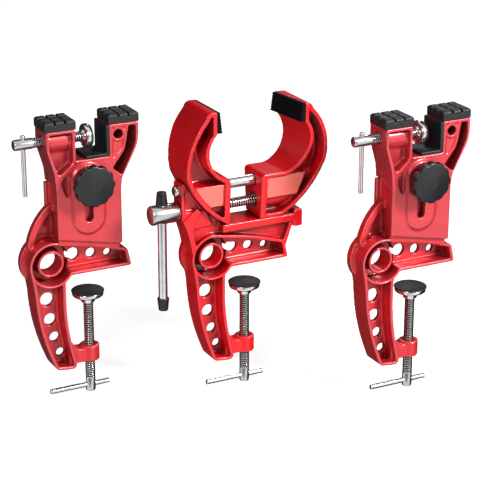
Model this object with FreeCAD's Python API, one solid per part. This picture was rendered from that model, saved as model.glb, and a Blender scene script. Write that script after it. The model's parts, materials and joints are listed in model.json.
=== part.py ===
import FreeCAD, Part
import math
import os

from FreeCAD import Placement, Rotation, Vector

# Ski tuning vise set: two end vises that carry tip and tail of a ski, and a centre vise whose wide
# jaws grip its middle. Each one is clamped on the edge of a bench by its own C-clamp.
# Millimetres. +X is the way the clamp screws of the jaws push, +Y runs along the ski, +Z is up.
# The origin is on the axis of the centre vise's bench screw, in the face that lies on the bench.
# Every end vise is built at the origin in the same way and then moved to its own place.

# Places of the end vises' own origins
LEFT_AT = Vector(-149.0, 50.0, 0.0)
RIGHT_AT = Vector(142.0, -86.0, 0.0)

# General running clearances
SCREW_CLEARANCE = 0.05
SLIDE_CLEARANCE = 0.3
FREE_CLEARANCE = 0.6

# C-clamp casting, the same in all three frames
FRAME_FRONT = 13.0
FRAME_BACK = 13.0
WEB_FRONT = 3.0
WEB_THICKNESS = 5.5
RIM = 3.2
SPLIT_AT = 5.0
ARM_REACH = 42.8
ARM_TIP_HEIGHT = 18.2
THROAT_DEPTH = 27.2
LEG_DROP = 101.0
LEG_TOP_WIDTH = 32.0
LEG_FOOT_WIDTH = 23.0
LEG_FOOT_EDGE = -17.0
LEG_CURVE = 220.0
RING_X = -40.0
RING_Z = 12.8
RING_RADIUS = 23.3
RING_WALL = 2.3
RING_FLOOR = 4.0
ARM_CROWN = 2.4
RING_BACK_RADIUS = 27.0
TUBE_BORE = 22.0
TUBE_WALL = 2.6
TUBE_SET_BACK = 5.5
ARM_HOLES = [(-13.3, 15.6, 13.0), (5.8, 13.7, 10.0), (23.4, 11.5, 7.6)]
LEG_HOLES = [(-41.8, -27.4, 14.0), (-39.4, -49.1, 12.4), (-35.5, -68.6, 10.4), (-30.0, -86.0, 8.8)]

# Bench screw and its swivel cup
CLAMP_SCREW_DIAMETER = 10.0
CLAMP_BOSS_RADIUS = 9.8
CLAMP_BOSS_LOW = -97.6
CLAMP_BOSS_HEIGHT = 16.4
CLAMP_NECK_DEPTH = 15.0
PAD_TOP = -21.6
PAD_DIAMETER = 33.0
PAD_CROWN = 1.6
PAD_RUBBER_HEIGHT = 3.0
PAD_LIP = 1.0
CUP_DIAMETER = 31.4
CUP_HEIGHT = 6.4
CUP_HUB_DIAMETER = 15.0
CUP_HUB_HEIGHT = 5.0
CUP_LIP = 1.2
SPINDLE_BALL_DEPTH = 4.0
SPINDLE_END = -132.3
CLAMP_BAR_HEIGHT = -125.8
CLAMP_BAR_DIAMETER = 4.5
CLAMP_BAR_LENGTH = 64.0
CLAMP_BAR_SHIFT = -11.3
BAR_END_EXTRA = 0.8
BAR_END_LENGTH = 2.4

# End vise: column behind the sliding head
COLUMN_LEFT = -33.0
COLUMN_RIGHT = 31.0
COLUMN_TOP_BACK = 92.0
COLUMN_TOP_FRONT = 87.2
COLUMN_TOP_FLAT = 8.0
COLUMN_FLANGE = 4.5
COLUMN_FLANGE_FRONT = 8.0
COLUMN_WALL = 5.0
COLUMN_CORE_FRONT = -7.5
TONGUE_HALF_WIDTH = 11.0
TONGUE_TOP = 103.0
TONGUE_BACK = 6.0
RIB_FRONT = -1.0
RIB_BACK = 7.5
RIB_WIDTH = 4.6
RIB_FLOOR = 2.6

# End vise: head casting
HEAD_FRONT = -17.0
HEAD_BACK = 15.0
HEAD_LEFT = -34.6
HEAD_RIGHT = 31.8
HEAD_BOTTOM_LEFT = 40.0
HEAD_BOTTOM_RIGHT = 26.0
POST_TOP = 148.0
POST_OUTER_LEFT = -43.0
POST_OUTER_RIGHT = 51.3
SLOT_LEFT = -13.9
SLOT_RIGHT = 21.0
SLOT_FLOOR = 117.0
HEAD_SEAM_GAP = 0.6
STADIUM_X = -3.0
STADIUM_RADIUS = 15.2
STADIUM_CHAMFER = 2.4
STADIUM_RAISE = 2.5
SLOT_LOW_Z = 58.7
STADIUM_HIGH_Z = 96.5
GUIDE_SLOT_WIDTH = 8.4
KNOB_Z = 95.5
HEAD_RIM = 2.8
LEFT_POCKET_FLOOR = -7.0
RIGHT_POCKET_FLOOR = 6.0
EYE_X = 30.2
EYE_Z = 138.0
EYE_DIAMETER = 9.6
EYE_RING_DIAMETER = 13.6
EYE_FIELD_DEPTH = 1.4
NECK_SCOOP_DEPTH = 2.4

# End vise: rest pads and slot liner
REST_PAD_WIDTH = 31.5
REST_PAD_DEPTH = 30.0
REST_PAD_HEIGHT = 9.5
REST_PAD_OVERHANG = 1.0
REST_STUD_GROOVE = 2.0
REST_STUD_GROOVE_DEPTH = 3.6
REST_STUD_ROWS = 3
REST_STUD_CHAMFER = 1.5
LINER_THICKNESS = 3.0
LINER_LENGTH = 24.0
LINER_TOP = 147.5

# End vise: side screw
SIDE_SCREW_Z = 135.5
SIDE_SCREW_DIAMETER = 10.0
SIDE_BOSS_RADIUS = 10.0
SIDE_BARREL_LEFT = -70.5
SIDE_BARREL_LENGTH = 18.5
SIDE_BARREL_DIAMETER = 10.6
SIDE_BAR_X = -60.7
SIDE_BAR_DIAMETER = 4.0
SIDE_BAR_LENGTH = 61.0
SIDE_BAR_DROP = 52.4
SIDE_DISC_DIAMETER = 24.0
SIDE_DISC_LEFT = 0.0
SIDE_DISC_THICKNESS = 5.6
SIDE_DISC_HUB = 14.0
SIDE_DISC_HUB_LENGTH = 2.0
SIDE_DISC_FACE = 1.9
SIDE_SCREW_INTO_DISC = 2.5

# End vise: lock knob
LOCK_STUD_DIAMETER = 8.0
LOCK_STUD_FRONT = -33.0
LOCK_STUD_BACK = 4.0
WASHER_DIAMETER = 20.0
WASHER_THICKNESS = 1.8
KNOB_DIAMETER = 41.5
KNOB_LOBES = 12
KNOB_LOBE_DEPTH = 1.8
KNOB_HUB_DIAMETER = 24.0
KNOB_HUB_LENGTH = 7.5
KNOB_THICKNESS = 11.0
KNOB_DOME = 3.0
LOCK_NUT_DIAMETER = 14.0
LOCK_NUT_LENGTH = 10.0
KNOB_GAP = 0.15

# Centre vise: saddle, bracket and stop
DECK_TOP = 46.0
DECK_THICKNESS = 8.0
DECK_LEFT = -31.0
DECK_RIGHT = 47.5
DECK_HALF_DEPTH = 16.0
STOP_THICKNESS = 9.5
STOP_TOP = 50.0
STOP_BOTTOM = 32.0
NECK_FRONT = -6.0
NECK_RIB = 4.0
CRADLE_HALF_DEPTH = 13.0

# Centre vise: jaws. Distances across are counted from the block's mouth face, away from the mouth.
FIXED_FACE_X = -24.0
SLIDING_FACE_X = 9.5
SLIDING_EXTRA = 23.0
JAW_REACH = 48.0
JAW_WAIST_Z = 104.0
JAW_TIP_SETBACK = 18.0
FIXED_TIP_TOP = 165.0
SLIDING_TIP_TOP = 162.2
JAW_TIP_LOW = 142.0
JAW_TIP_THICKNESS = 11.5
JAW_BELLY = 25.2
JAW_BELLY_Z = 124.0
JAW_BLOCK_TOP = 92.5
BLOCK_EDGE_RADIUS = 4.5
JAW_FOOT_HALF_DEPTH = 16.5
JAW_BLOCK_HALF_DEPTH = 20.0
JAW_TIP_HALF_DEPTH = 26.5
JAW_RIM = 4.0
JAW_FACE_RIM = 6.0
JAW_WEB = 7.0
JAW_PANEL_LOW = 66.0
JAW_PANEL_SET_BACK = 2.6
JAW_PANEL_LENGTH = 27.5
JAW_PANEL_SLANT = 9.0
FIXED_PANEL_EXTRA = 25.0
JAW_MOUTH_TAPER = 0.12
JAW_PAD_THICKNESS = 6.0
JAW_PAD_LOW = 143.0
JAW_PAD_TOP_THICKNESS = 3.6
JAW_PAD_RIDGES = 7
JAW_PAD_RIDGE_DEPTH = 1.0

# Centre vise: bracket behind the fixed jaw
BRACKET_OUTSIDE = 0.5
BRACKET_LEFT = FIXED_FACE_X - JAW_REACH - BRACKET_OUTSIDE
BRACKET_TOP = 92.0
BRACKET_HALF_DEPTH = 10.0
BRACKET_RIM = 2.6
BRACKET_RECESS = 2.4

# Centre vise: guide rod, lead screw and handle
ROD_Z = 83.0
ROD_DIAMETER = 10.8
ROD_STICKS_OUT = 4.5
ROD_LEFT = BRACKET_LEFT - ROD_STICKS_OUT
ROD_LENGTH = 126.0
ROD_CHAMFER = 1.2
LEAD_Z = 62.0
LEAD_DIAMETER = 10.0
LEAD_RIGHT = 47.0
BARREL_DIAMETER = 19.5
BARREL_LENGTH = 29.0
BARREL_CHAMFER = 1.2
BARREL_GAP = 0.5
BARREL_LEFT = BRACKET_LEFT - BARREL_GAP - BARREL_LENGTH
SCREW_BOSS_RADIUS = 10.0
ROD_BOSS_RADIUS = 8.4
COLLAR_DIAMETER = 12.4
COLLAR_LENGTH = 4.0
COLLAR_GAP = 0.3
COLLAR_WALL = 6.0
JAW_NUT_DIAMETER = 15.0
JAW_NUT_LENGTH = 12.0
HANDLE_X = BARREL_LEFT + 12.5
HANDLE_DIAMETER = 9.0
HANDLE_LENGTH = 113.0
HANDLE_CAP_LENGTH = 12.6
HANDLE_CAP_COVER = 8.0
HANDLE_CAP_INNER = 12.0
HANDLE_CAP_OUTER = 9.4
SET_SCREW_DIAMETER = 6.0
SET_SCREW_SINK = 0.5
BRACKET_SET_SCREW_X = BRACKET_LEFT + 4.5
JAW_SET_SCREW_X = FIXED_FACE_X - 14.0

X_AXIS = Vector(1, 0, 0)
Y_AXIS = Vector(0, 1, 0)
Z_AXIS = Vector(0, 0, 1)


# Outlines and basic solids

def rounded(corners):
    """Closed wire in the XZ plane through corners (x, z, radius), each corner a tangent arc."""
    points = [Vector(c[0], 0, c[1]) for c in corners]
    radii = [c[2] if len(c) > 2 else 0.0 for c in corners]
    count = len(points)
    joints = []
    for i, corner in enumerate(points):
        to_last = (points[i - 1] - corner).normalize()
        to_next = (points[(i + 1) % count] - corner).normalize()
        half = to_last.getAngle(to_next) / 2
        if radii[i] == 0:
            joints.append((corner, corner, corner))
            continue
        run = radii[i] / math.tan(half)
        middle = (to_last + to_next).normalize()
        crown = corner + middle * (radii[i] / math.sin(half) - radii[i])
        joints.append((corner + to_last * run, crown, corner + to_next * run))
    edges = []
    for i, (first, crown, last) in enumerate(joints):
        if radii[i]:
            edges.append(Part.Arc(first, crown, last).toShape())
        following = joints[(i + 1) % count][0]
        if last.distanceToPoint(following) > 1e-6:
            edges.append(Part.makeLine(last, following))
    return Part.Wire(edges)


def traced(start, *legs):
    """Closed wire in the XZ plane: each leg is an end (x, z), or a pair (through, end) for an arc."""
    here = Vector(start[0], 0, start[1])
    first = here
    edges = []
    for leg in legs:
        if isinstance(leg[0], tuple):
            through, end = (Vector(p[0], 0, p[1]) for p in leg)
            edges.append(Part.Arc(here, through, end).toShape())
        else:
            end = Vector(leg[0], 0, leg[1])
            edges.append(Part.makeLine(here, end))
        here = end
    if here.distanceToPoint(first) > 1e-6:
        edges.append(Part.makeLine(here, first))
    return Part.Wire(edges)


def slab(wire, front, back):
    """Plate between two Y planes with the outline of a wire in the XZ plane."""
    face = Part.Face(wire)
    face.translate(Y_AXIS * front)
    return face.extrude(Y_AXIS * (back - front))


def inset(wire, distance):
    """The outline pulled inwards, so that a rim of this width is left."""
    return Part.Face(wire).makeOffset2D(-distance).OuterWire


def box(low, high):
    """Box between two corners."""
    size = Vector(*high) - Vector(*low)
    return Part.makeBox(size.x, size.y, size.z, Vector(*low))


def rod(start, end, diameter):
    """Round bar between two points."""
    a = Vector(*start)
    way = Vector(*end) - a
    return Part.makeCylinder(diameter / 2, way.Length, a, way)


def cone(start, end, first, last):
    """Round bar whose diameter changes from first to last."""
    a = Vector(*start)
    way = Vector(*end) - a
    return Part.makeCone(first / 2, last / 2, way.Length, a, way)


def turned(profile, start, axis):
    """Solid of revolution: profile points are (distance along the axis, radius)."""
    points = [Vector(along, radius, 0) for along, radius in profile]
    wire = Part.makePolygon(points + points[:1])
    solid = Part.Face(wire).revolve(Vector(0, 0, 0), X_AXIS, 360)
    solid.Placement = Placement(Vector(*start), Rotation(X_AXIS, axis))
    return solid


def tommy_bar(middle, axis, diameter, length):
    """Steel bar with a slightly thicker upset end on each side."""
    half = length / 2
    end = half - BAR_END_LENGTH
    thin = diameter / 2
    thick = thin + BAR_END_EXTRA / 2
    profile = [
        (-half, 0), (-half, thick - 0.4), (-half + 0.4, thick), (-end, thick), (-end + 0.6, thin),
        (end - 0.6, thin), (end, thick), (half - 0.4, thick), (half, thick - 0.4), (half, 0),
    ]
    return turned(profile, middle, axis)


def fused(first, *others):
    """One solid from overlapping ones, with the split faces joined again."""
    return first.fuse(list(others)).removeSplitter()


def cut(body, *tools):
    """The body without the tools."""
    return body.cut(list(tools))


# C-clamp casting

def frame_outline():
    """Front view of the leg and the bench arm, without the ring."""
    ring_left = RING_X - RING_RADIUS * math.cos(math.radians(15))
    ring_low = RING_Z - RING_RADIUS * math.sin(math.radians(15))
    top_x = RING_X + RING_RADIUS * math.cos(math.radians(76))
    top_z = RING_Z + RING_RADIUS * math.sin(math.radians(76))
    leg_left = -THROAT_DEPTH - LEG_TOP_WIDTH
    crown_x = (top_x + ARM_REACH) / 2
    crown_z = (top_z + ARM_TIP_HEIGHT) / 2 + ARM_CROWN
    return rounded([
        (top_x, top_z),
        (crown_x, crown_z, 300.0),
        (ARM_REACH - 4.0, ARM_TIP_HEIGHT, 4.0),
        (ARM_REACH, 0.0, 2.0),
        (-THROAT_DEPTH, 0.0, 9.0),
        (-THROAT_DEPTH - 0.6, -52.0, LEG_CURVE),
        (LEG_FOOT_EDGE, -LEG_DROP, 5.0),
        (LEG_FOOT_EDGE - LEG_FOOT_WIDTH, -LEG_DROP + 2.5, 6.0),
        (leg_left + 2.4, -54.0, LEG_CURVE),
        (leg_left, -14.0, 30.0),
        (ring_left, ring_low),
        (leg_left, RING_Z),
    ])


def frame_pockets(front, back, arm_open):
    """Hollows between the rims of leg and arm; with arm_open the ring's wall is left out there."""
    hollow = slab(inset(frame_outline(), RIM), front, back)
    ring = rod((RING_X, front - 1, RING_Z), (RING_X, back + 1, RING_Z), 2 * RING_RADIUS)
    if arm_open:
        inner = rod((RING_X, front - 1, RING_Z), (RING_X, back + 1, RING_Z), 2 * (RING_RADIUS - RING_WALL))
        sector = slab(traced(
            (RING_X, RING_Z), (RING_X + 10.0, RING_Z + 60.0), (ARM_REACH, RING_Z + 60.0),
            (ARM_REACH, RING_Z - 60.0), (RING_X + 60.0, RING_Z - 52.0),
        ), front - 1, back + 1)
        ring = cut(ring, cut(sector, inner))
    return cut(hollow, ring)


def c_frame():
    """Leg, arm, tube ring and screw boss as one open casting with a web between its rims."""
    web_back = WEB_FRONT + WEB_THICKNESS
    tube_diameter = TUBE_BORE + 2 * TUBE_WALL
    ring_hollow = 2 * (RING_RADIUS - RING_WALL)
    body = slab(frame_outline(), -FRAME_FRONT, FRAME_BACK)
    ring = rod((RING_X, -FRAME_FRONT, RING_Z), (RING_X, FRAME_BACK, RING_Z), 2 * RING_RADIUS)
    shoulder = rod((RING_X, SPLIT_AT, RING_Z), (RING_X, FRAME_BACK, RING_Z), 2 * RING_BACK_RADIUS)
    boss_top = CLAMP_BOSS_LOW + CLAMP_BOSS_HEIGHT
    boss = rod((0, 0, CLAMP_BOSS_LOW), (0, 0, boss_top), 2 * CLAMP_BOSS_RADIUS)
    neck = slab(rounded([
        (LEG_FOOT_EDGE - 8.0, CLAMP_BOSS_LOW + 0.5),
        (0.0, CLAMP_BOSS_LOW + 0.5),
        (0.0, boss_top - 1.0),
        (LEG_FOOT_EDGE + 3.0, boss_top - 2.0, 6.0),
        (LEG_FOOT_EDGE - 3.0, boss_top + 6.0),
        (LEG_FOOT_EDGE - 8.0, boss_top + 6.0),
    ]), -CLAMP_NECK_DEPTH / 2, CLAMP_NECK_DEPTH / 2)
    tube_front = -FRAME_FRONT + TUBE_SET_BACK
    floor = FRAME_BACK - RING_FLOOR
    hollow = cut(
        rod((RING_X, -FRAME_FRONT - 1, RING_Z), (RING_X, floor, RING_Z), ring_hollow),
        rod((RING_X, tube_front, RING_Z), (RING_X, floor + 1, RING_Z), tube_diameter))
    bore = rod((RING_X, -FRAME_FRONT - 1, RING_Z), (RING_X, FRAME_BACK + 1, RING_Z), TUBE_BORE)
    windows = [
        rod((x, -FRAME_FRONT, z), (x, FRAME_BACK, z), diameter)
        for x, z, diameter in ARM_HOLES + LEG_HOLES
    ]
    casting = fused(body, ring)
    casting = cut(
        casting, frame_pockets(-FRAME_FRONT - 1, WEB_FRONT, True),
        frame_pockets(web_back, FRAME_BACK + 1, False))
    casting = fused(casting, shoulder, boss, neck)
    thread = rod((0, 0, -LEG_DROP - 1), (0, 0, PAD_TOP), CLAMP_SCREW_DIAMETER + 2 * SCREW_CLEARANCE)
    return cut(casting, hollow, bore, thread, *windows)


def ring_room():
    """The open inside of the ring, which nothing above the clamp may fill."""
    return rod(
        (RING_X, -FRAME_FRONT - 1, RING_Z), (RING_X, FRAME_BACK + 1, RING_Z),
        2 * (RING_RADIUS - RING_WALL))


# Bench screw, cup and bar

def clamp_rubber():
    """Crowned rubber disc that presses on the underside of the bench."""
    rim = PAD_TOP - PAD_CROWN
    floor = rim - PAD_RUBBER_HEIGHT
    radius = PAD_DIAMETER / 2
    ball = (radius ** 2 + PAD_CROWN ** 2) / (2 * PAD_CROWN)
    crown = rod((0, 0, rim - PAD_LIP), (0, 0, PAD_TOP + 1), PAD_DIAMETER)
    crown = crown.common(Part.makeSphere(ball, Vector(0, 0, PAD_TOP - ball)))
    plug = rod((0, 0, floor), (0, 0, rim), CUP_DIAMETER - 2 * CUP_LIP)
    return fused(crown, plug)


def clamp_cup():
    """Pressed steel cup with a hub that swivels on the spindle's end."""
    top = PAD_TOP - PAD_CROWN - PAD_LIP
    floor = PAD_TOP - PAD_CROWN - PAD_RUBBER_HEIGHT
    outer = CUP_DIAMETER / 2
    low = top - CUP_HEIGHT
    bore = CLAMP_SCREW_DIAMETER / 2 + SCREW_CLEARANCE
    profile = traced(
        (0, floor), (outer - CUP_LIP, floor), (outer - CUP_LIP, top), (outer, top), (outer, low + 2.5),
        ((outer - 0.9, low + 0.8), (outer - 2.8, low)),
        (CUP_HUB_DIAMETER / 2, low), (CUP_HUB_DIAMETER / 2 - 1.0, low - CUP_HUB_HEIGHT),
        (bore, low - CUP_HUB_HEIGHT), (bore, floor - SPINDLE_BALL_DEPTH), (0, floor - SPINDLE_BALL_DEPTH),
    )
    return Part.Face(profile).revolve(Vector(0, 0, 0), Z_AXIS, 360)


def clamp_spindle():
    """Bench screw from inside the cup down to its plain end with the cross hole."""
    floor = PAD_TOP - PAD_CROWN - PAD_RUBBER_HEIGHT
    top = floor - SPINDLE_BALL_DEPTH - SLIDE_CLEARANCE
    shank = turned(
        [(SPINDLE_END, 0), (SPINDLE_END, CLAMP_SCREW_DIAMETER / 2 - 0.8),
         (SPINDLE_END + 0.8, CLAMP_SCREW_DIAMETER / 2), (top - 0.8, CLAMP_SCREW_DIAMETER / 2),
         (top, CLAMP_SCREW_DIAMETER / 2 - 0.8), (top, 0)],
        (0, 0, 0), Z_AXIS)
    reach = CLAMP_SCREW_DIAMETER
    hole = rod(
        (-reach, 0, CLAMP_BAR_HEIGHT), (reach, 0, CLAMP_BAR_HEIGHT),
        CLAMP_BAR_DIAMETER + 2 * SCREW_CLEARANCE)
    return cut(shank, hole)


def clamp_bar():
    """Tommy bar across the foot of the bench screw."""
    middle = (CLAMP_BAR_SHIFT, 0, CLAMP_BAR_HEIGHT)
    return tommy_bar(middle, X_AXIS, CLAMP_BAR_DIAMETER, CLAMP_BAR_LENGTH)


# End vise: frame with column

def column_profile(gap):
    """Side view of the column's top, where the head rests; gap lifts it clear."""
    front = HEAD_FRONT - 5.0
    back = HEAD_BACK + 5.0
    drop = COLUMN_TOP_BACK - COLUMN_TOP_FRONT
    slope = drop / (COLUMN_TOP_FLAT + FRAME_FRONT)
    lowest = COLUMN_TOP_BACK - slope * (COLUMN_TOP_FLAT - front)
    points = [
        Vector(0, front, -LEG_DROP), Vector(0, front, lowest + gap),
        Vector(0, COLUMN_TOP_FLAT, COLUMN_TOP_BACK + gap), Vector(0, back, COLUMN_TOP_BACK + gap),
        Vector(0, back, -LEG_DROP),
    ]
    return Part.Face(Part.makePolygon(points + points[:1]))


def below_seam(left, right, gap):
    """Everything between two X planes that lies under the seam of head and column."""
    face = column_profile(gap)
    face.translate(X_AXIS * left)
    return face.extrude(X_AXIS * (right - left))


def arm_top_at(x):
    """Height of the arm's upper edge, a straight line from the ring to the tip."""
    start_x = RING_X + RING_RADIUS * math.cos(math.radians(76))
    start_z = RING_Z + RING_RADIUS * math.sin(math.radians(76))
    slope = (ARM_TIP_HEIGHT - start_z) / (ARM_REACH - 4.0 - start_x)
    return start_z + slope * (x - start_x)


def column():
    """Hollow column on the arm, with a wider flange at its back and a tongue for the head."""
    sink = (RIM - ARM_CROWN) / 2
    front = -FRAME_FRONT + SLIDE_CLEARANCE
    left, right = COLUMN_LEFT, COLUMN_RIGHT
    foot_left = arm_top_at(left) - sink
    foot_right = arm_top_at(right) - sink
    shaft = slab(traced(
        (left, foot_left), (right, foot_right), (right, TONGUE_TOP), (left, TONGUE_TOP),
    ), front, FRAME_BACK)
    wide = COLUMN_FLANGE
    flange = slab(traced(
        (left - wide, foot_left), (right + wide, foot_right),
        (right + wide, TONGUE_TOP), (left - wide, TONGUE_TOP),
    ), COLUMN_FLANGE_FRONT, FRAME_BACK)
    block = fused(shaft, flange).common(below_seam(left - wide - 1, right + wide + 1, 0.0))
    wall = COLUMN_WALL
    core = slab(rounded([
        (left + wall, foot_left + wall + 2, 4.0), (right - wall, foot_right + wall + 2, 4.0),
        (right - wall, COLUMN_TOP_FRONT - wall, 4.0), (left + wall, COLUMN_TOP_FRONT - wall, 4.0),
    ]), COLUMN_CORE_FRONT, FRAME_BACK + 1)
    spine = box(
        (STADIUM_X - wall / 2, COLUMN_CORE_FRONT - 1, 0), (STADIUM_X + wall / 2, FRAME_BACK - 2, TONGUE_TOP))
    shelf = box((left, COLUMN_CORE_FRONT - 1, 58.0), (right, FRAME_BACK - 2, 58.0 + wall))
    block = cut(block, cut(core, spine, shelf))
    tongue = box(
        (STADIUM_X - TONGUE_HALF_WIDTH, front, COLUMN_TOP_FRONT - wall),
        (STADIUM_X + TONGUE_HALF_WIDTH, TONGUE_BACK, TONGUE_TOP))
    return fused(block, tongue)


def side_rib():
    """Curved rib from the column down to the ring, with a thin floor behind its triangular pocket."""
    inner = COLUMN_LEFT + 2.0
    outside = traced(
        (inner, 72.0), (-39.5, 69.5), ((-52.2, 54.5), (-60.5, 33.0)),
        (-56.0, 22.0), (inner, 22.0),
    )
    w = RIB_WIDTH
    pocket = traced(
        (inner - 1.5, 65.5), ((-46.5, 51.0), (-56.2 + w * 0.2, 30.0)), (-46.0, 37.2), (inner - 1.5, 37.2),
    )
    rib = slab(outside, RIB_FRONT, RIB_BACK)
    return cut(rib, slab(pocket, RIB_FRONT - 1, RIB_BACK - RIB_FLOOR))


def end_frame():
    """Whole end vise casting: C-clamp, column, rib and the bore for the lock stud."""
    stud = rod((STADIUM_X, -FRAME_FRONT - 1, KNOB_Z), (STADIUM_X, LOCK_STUD_BACK, KNOB_Z), LOCK_STUD_DIAMETER)
    base = c_frame()
    tower = fused(column(), side_rib())
    return cut(fused(base, cut(tower, ring_room())), stud)


# End vise: head

def head_outline():
    """Front view of plate, neck and both posts with the ski slot between them."""
    return rounded([
        (POST_OUTER_LEFT, POST_TOP, 1.0),
        (SLOT_LEFT, POST_TOP, 1.0),
        (SLOT_LEFT, SLOT_FLOOR),
        (SLOT_RIGHT, SLOT_FLOOR),
        (SLOT_RIGHT, POST_TOP, 1.0),
        (POST_OUTER_RIGHT, POST_TOP, 1.0),
        (POST_OUTER_RIGHT, 127.0, 40.0),
        (HEAD_RIGHT + 1.2, 93.0, 16.0),
        (HEAD_RIGHT, 80.0, 6.0),
        (HEAD_RIGHT, HEAD_BOTTOM_RIGHT, 1.5),
        (HEAD_LEFT, HEAD_BOTTOM_LEFT, 1.5),
        (HEAD_LEFT, 88.0, 4.0),
        (HEAD_LEFT - 1.5, 106.0, 25.0),
        (POST_OUTER_LEFT, 130.0, 16.0),
    ])


def stadium(low_z, high_z, radius, front, back):
    """Upright plate with round ends about the guide slot's line."""
    shape = slab(traced(
        (STADIUM_X - radius, high_z), ((STADIUM_X, high_z + radius), (STADIUM_X + radius, high_z)),
        (STADIUM_X + radius, low_z), ((STADIUM_X, low_z - radius), (STADIUM_X - radius, low_z)),
    ), front, back)
    return shape


def left_post_pocket():
    """Funnel-shaped hollow in the left post, around the tube that holds the side screw."""
    rim = HEAD_RIM
    hollow = slab(rounded([
        (POST_OUTER_LEFT + rim, POST_TOP - rim, 2.0),
        (SLOT_LEFT - rim, POST_TOP - rim, 2.0),
        (SLOT_LEFT - rim, SLOT_FLOOR - 2.0, 9.0),
        (HEAD_LEFT + rim, 103.0, 3.0),
        (POST_OUTER_LEFT + rim, 130.0, 12.0),
    ]), HEAD_FRONT - 1, LEFT_POCKET_FLOOR)
    tube = rod(
        (POST_OUTER_LEFT, 0, SIDE_SCREW_Z), (SLOT_LEFT, 0, SIDE_SCREW_Z),
        2 * (SIDE_BOSS_RADIUS + 2.0))
    return cut(hollow, tube)


def neck_scoop():
    """Shallow hollow beside the raised platform, under the left post."""
    edge = STADIUM_X - STADIUM_RADIUS - STADIUM_CHAMFER
    return slab(rounded([
        (edge - 9.0, 98.0, 1.5), (edge - 3.0, 104.0, 1.5), (edge + 0.6, 97.0, 3.0),
        (edge + 0.2, 83.0, 2.0), (edge - 4.5, 83.0, 2.0),
    ]), HEAD_FRONT - 1, HEAD_FRONT + NECK_SCOOP_DEPTH)


def right_post_pocket():
    """Deep curved hollow along the outer edge of the right post."""
    rim = HEAD_RIM
    edge = POST_OUTER_RIGHT - rim
    return slab(rounded([
        (EYE_X + 11.0, POST_TOP - rim, 1.5),
        (edge, POST_TOP - rim, 2.0),
        (edge, 127.0, 34.0),
        (HEAD_RIGHT + 1.6, 96.0, 2.0),
        (SLOT_RIGHT + 2.5, 104.5, 2.0),
        (SLOT_RIGHT + 16.0, 122.0, 24.0),
    ]), HEAD_FRONT - 1, RIGHT_POCKET_FLOOR)


def eye_field():
    """Shallow field around the eye in the right post."""
    rim = HEAD_RIM
    return slab(rounded([
        (SLOT_RIGHT + rim, POST_TOP - rim, 1.5),
        (EYE_X + 8.5, POST_TOP - rim, 1.5),
        (SLOT_RIGHT + 13.0, 122.0, 20.0),
        (SLOT_RIGHT + rim, 112.0, 2.0),
    ]), HEAD_FRONT - 1, HEAD_FRONT + EYE_FIELD_DEPTH)


def head():
    """Sliding head casting."""
    body = slab(head_outline(), HEAD_FRONT, HEAD_BACK)
    behind = below_seam(POST_OUTER_LEFT - 5, POST_OUTER_RIGHT + 5, HEAD_SEAM_GAP)
    plate_back = -FRAME_FRONT
    behind = behind.common(box(
        (POST_OUTER_LEFT - 6, plate_back, -LEG_DROP), (POST_OUTER_RIGHT + 6, HEAD_BACK + 6, POST_TOP)))
    half = TONGUE_HALF_WIDTH + SLIDE_CLEARANCE
    channel = box(
        (STADIUM_X - half, plate_back, 0),
        (STADIUM_X + half, HEAD_BACK + 1, TONGUE_TOP + HEAD_SEAM_GAP))
    platform = stadium(
        SLOT_LOW_Z, STADIUM_HIGH_Z, STADIUM_RADIUS + STADIUM_CHAMFER,
        HEAD_FRONT - STADIUM_RAISE, HEAD_FRONT + 1)
    platform = platform.makeChamfer(STADIUM_CHAMFER, [
        e for e in platform.Edges
        if all(abs(v.Y - (HEAD_FRONT - STADIUM_RAISE)) < 1e-6 for v in e.Vertexes)])
    body = cut(body, left_post_pocket(), right_post_pocket(), eye_field(), neck_scoop())
    ring = rod(
        (EYE_X, HEAD_FRONT, EYE_Z), (EYE_X, HEAD_FRONT + EYE_FIELD_DEPTH + 1, EYE_Z), EYE_RING_DIAMETER)
    eye = rod((EYE_X, HEAD_FRONT - 1, EYE_Z), (EYE_X, HEAD_BACK + 1, EYE_Z), EYE_DIAMETER)
    body = fused(cut(body, behind), platform, ring)
    guide = stadium(
        SLOT_LOW_Z, KNOB_Z + SLIDE_CLEARANCE, GUIDE_SLOT_WIDTH / 2,
        HEAD_FRONT - STADIUM_RAISE - 1, HEAD_BACK + 1)
    thread = rod(
        (POST_OUTER_LEFT - 1, 0, SIDE_SCREW_Z), (SLOT_LEFT + 1, 0, SIDE_SCREW_Z),
        SIDE_SCREW_DIAMETER + 2 * SCREW_CLEARANCE)
    return cut(body, channel, guide, eye, thread)


def rest_pad(left):
    """Rubber block on a post: a base plate with rows of chamfered studs."""
    deep = REST_PAD_DEPTH
    middle = (HEAD_FRONT + HEAD_BACK) / 2
    front = middle - deep / 2
    block = Part.makeBox(REST_PAD_WIDTH, deep, REST_PAD_HEIGHT, Vector(left, front, POST_TOP))
    top = POST_TOP + REST_PAD_HEIGHT
    block = block.makeChamfer(REST_STUD_CHAMFER, [
        e for e in block.Edges if all(abs(v.Z - top) < 1e-6 for v in e.Vertexes)])
    groove_floor = top - REST_STUD_GROOVE_DEPTH
    grooves = []
    for i in range(1, REST_STUD_ROWS):
        x = left + REST_PAD_WIDTH * i / REST_STUD_ROWS
        y = front + deep * i / REST_STUD_ROWS
        half = REST_STUD_GROOVE / 2
        grooves.append(box((x - half, front - 1, groove_floor), (x + half, front + deep + 1, top + 1)))
        grooves.append(box(
            (left - 1, y - half, groove_floor), (left + REST_PAD_WIDTH + 1, y + half, top + 1)))
    return cut(block, *grooves)


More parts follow.
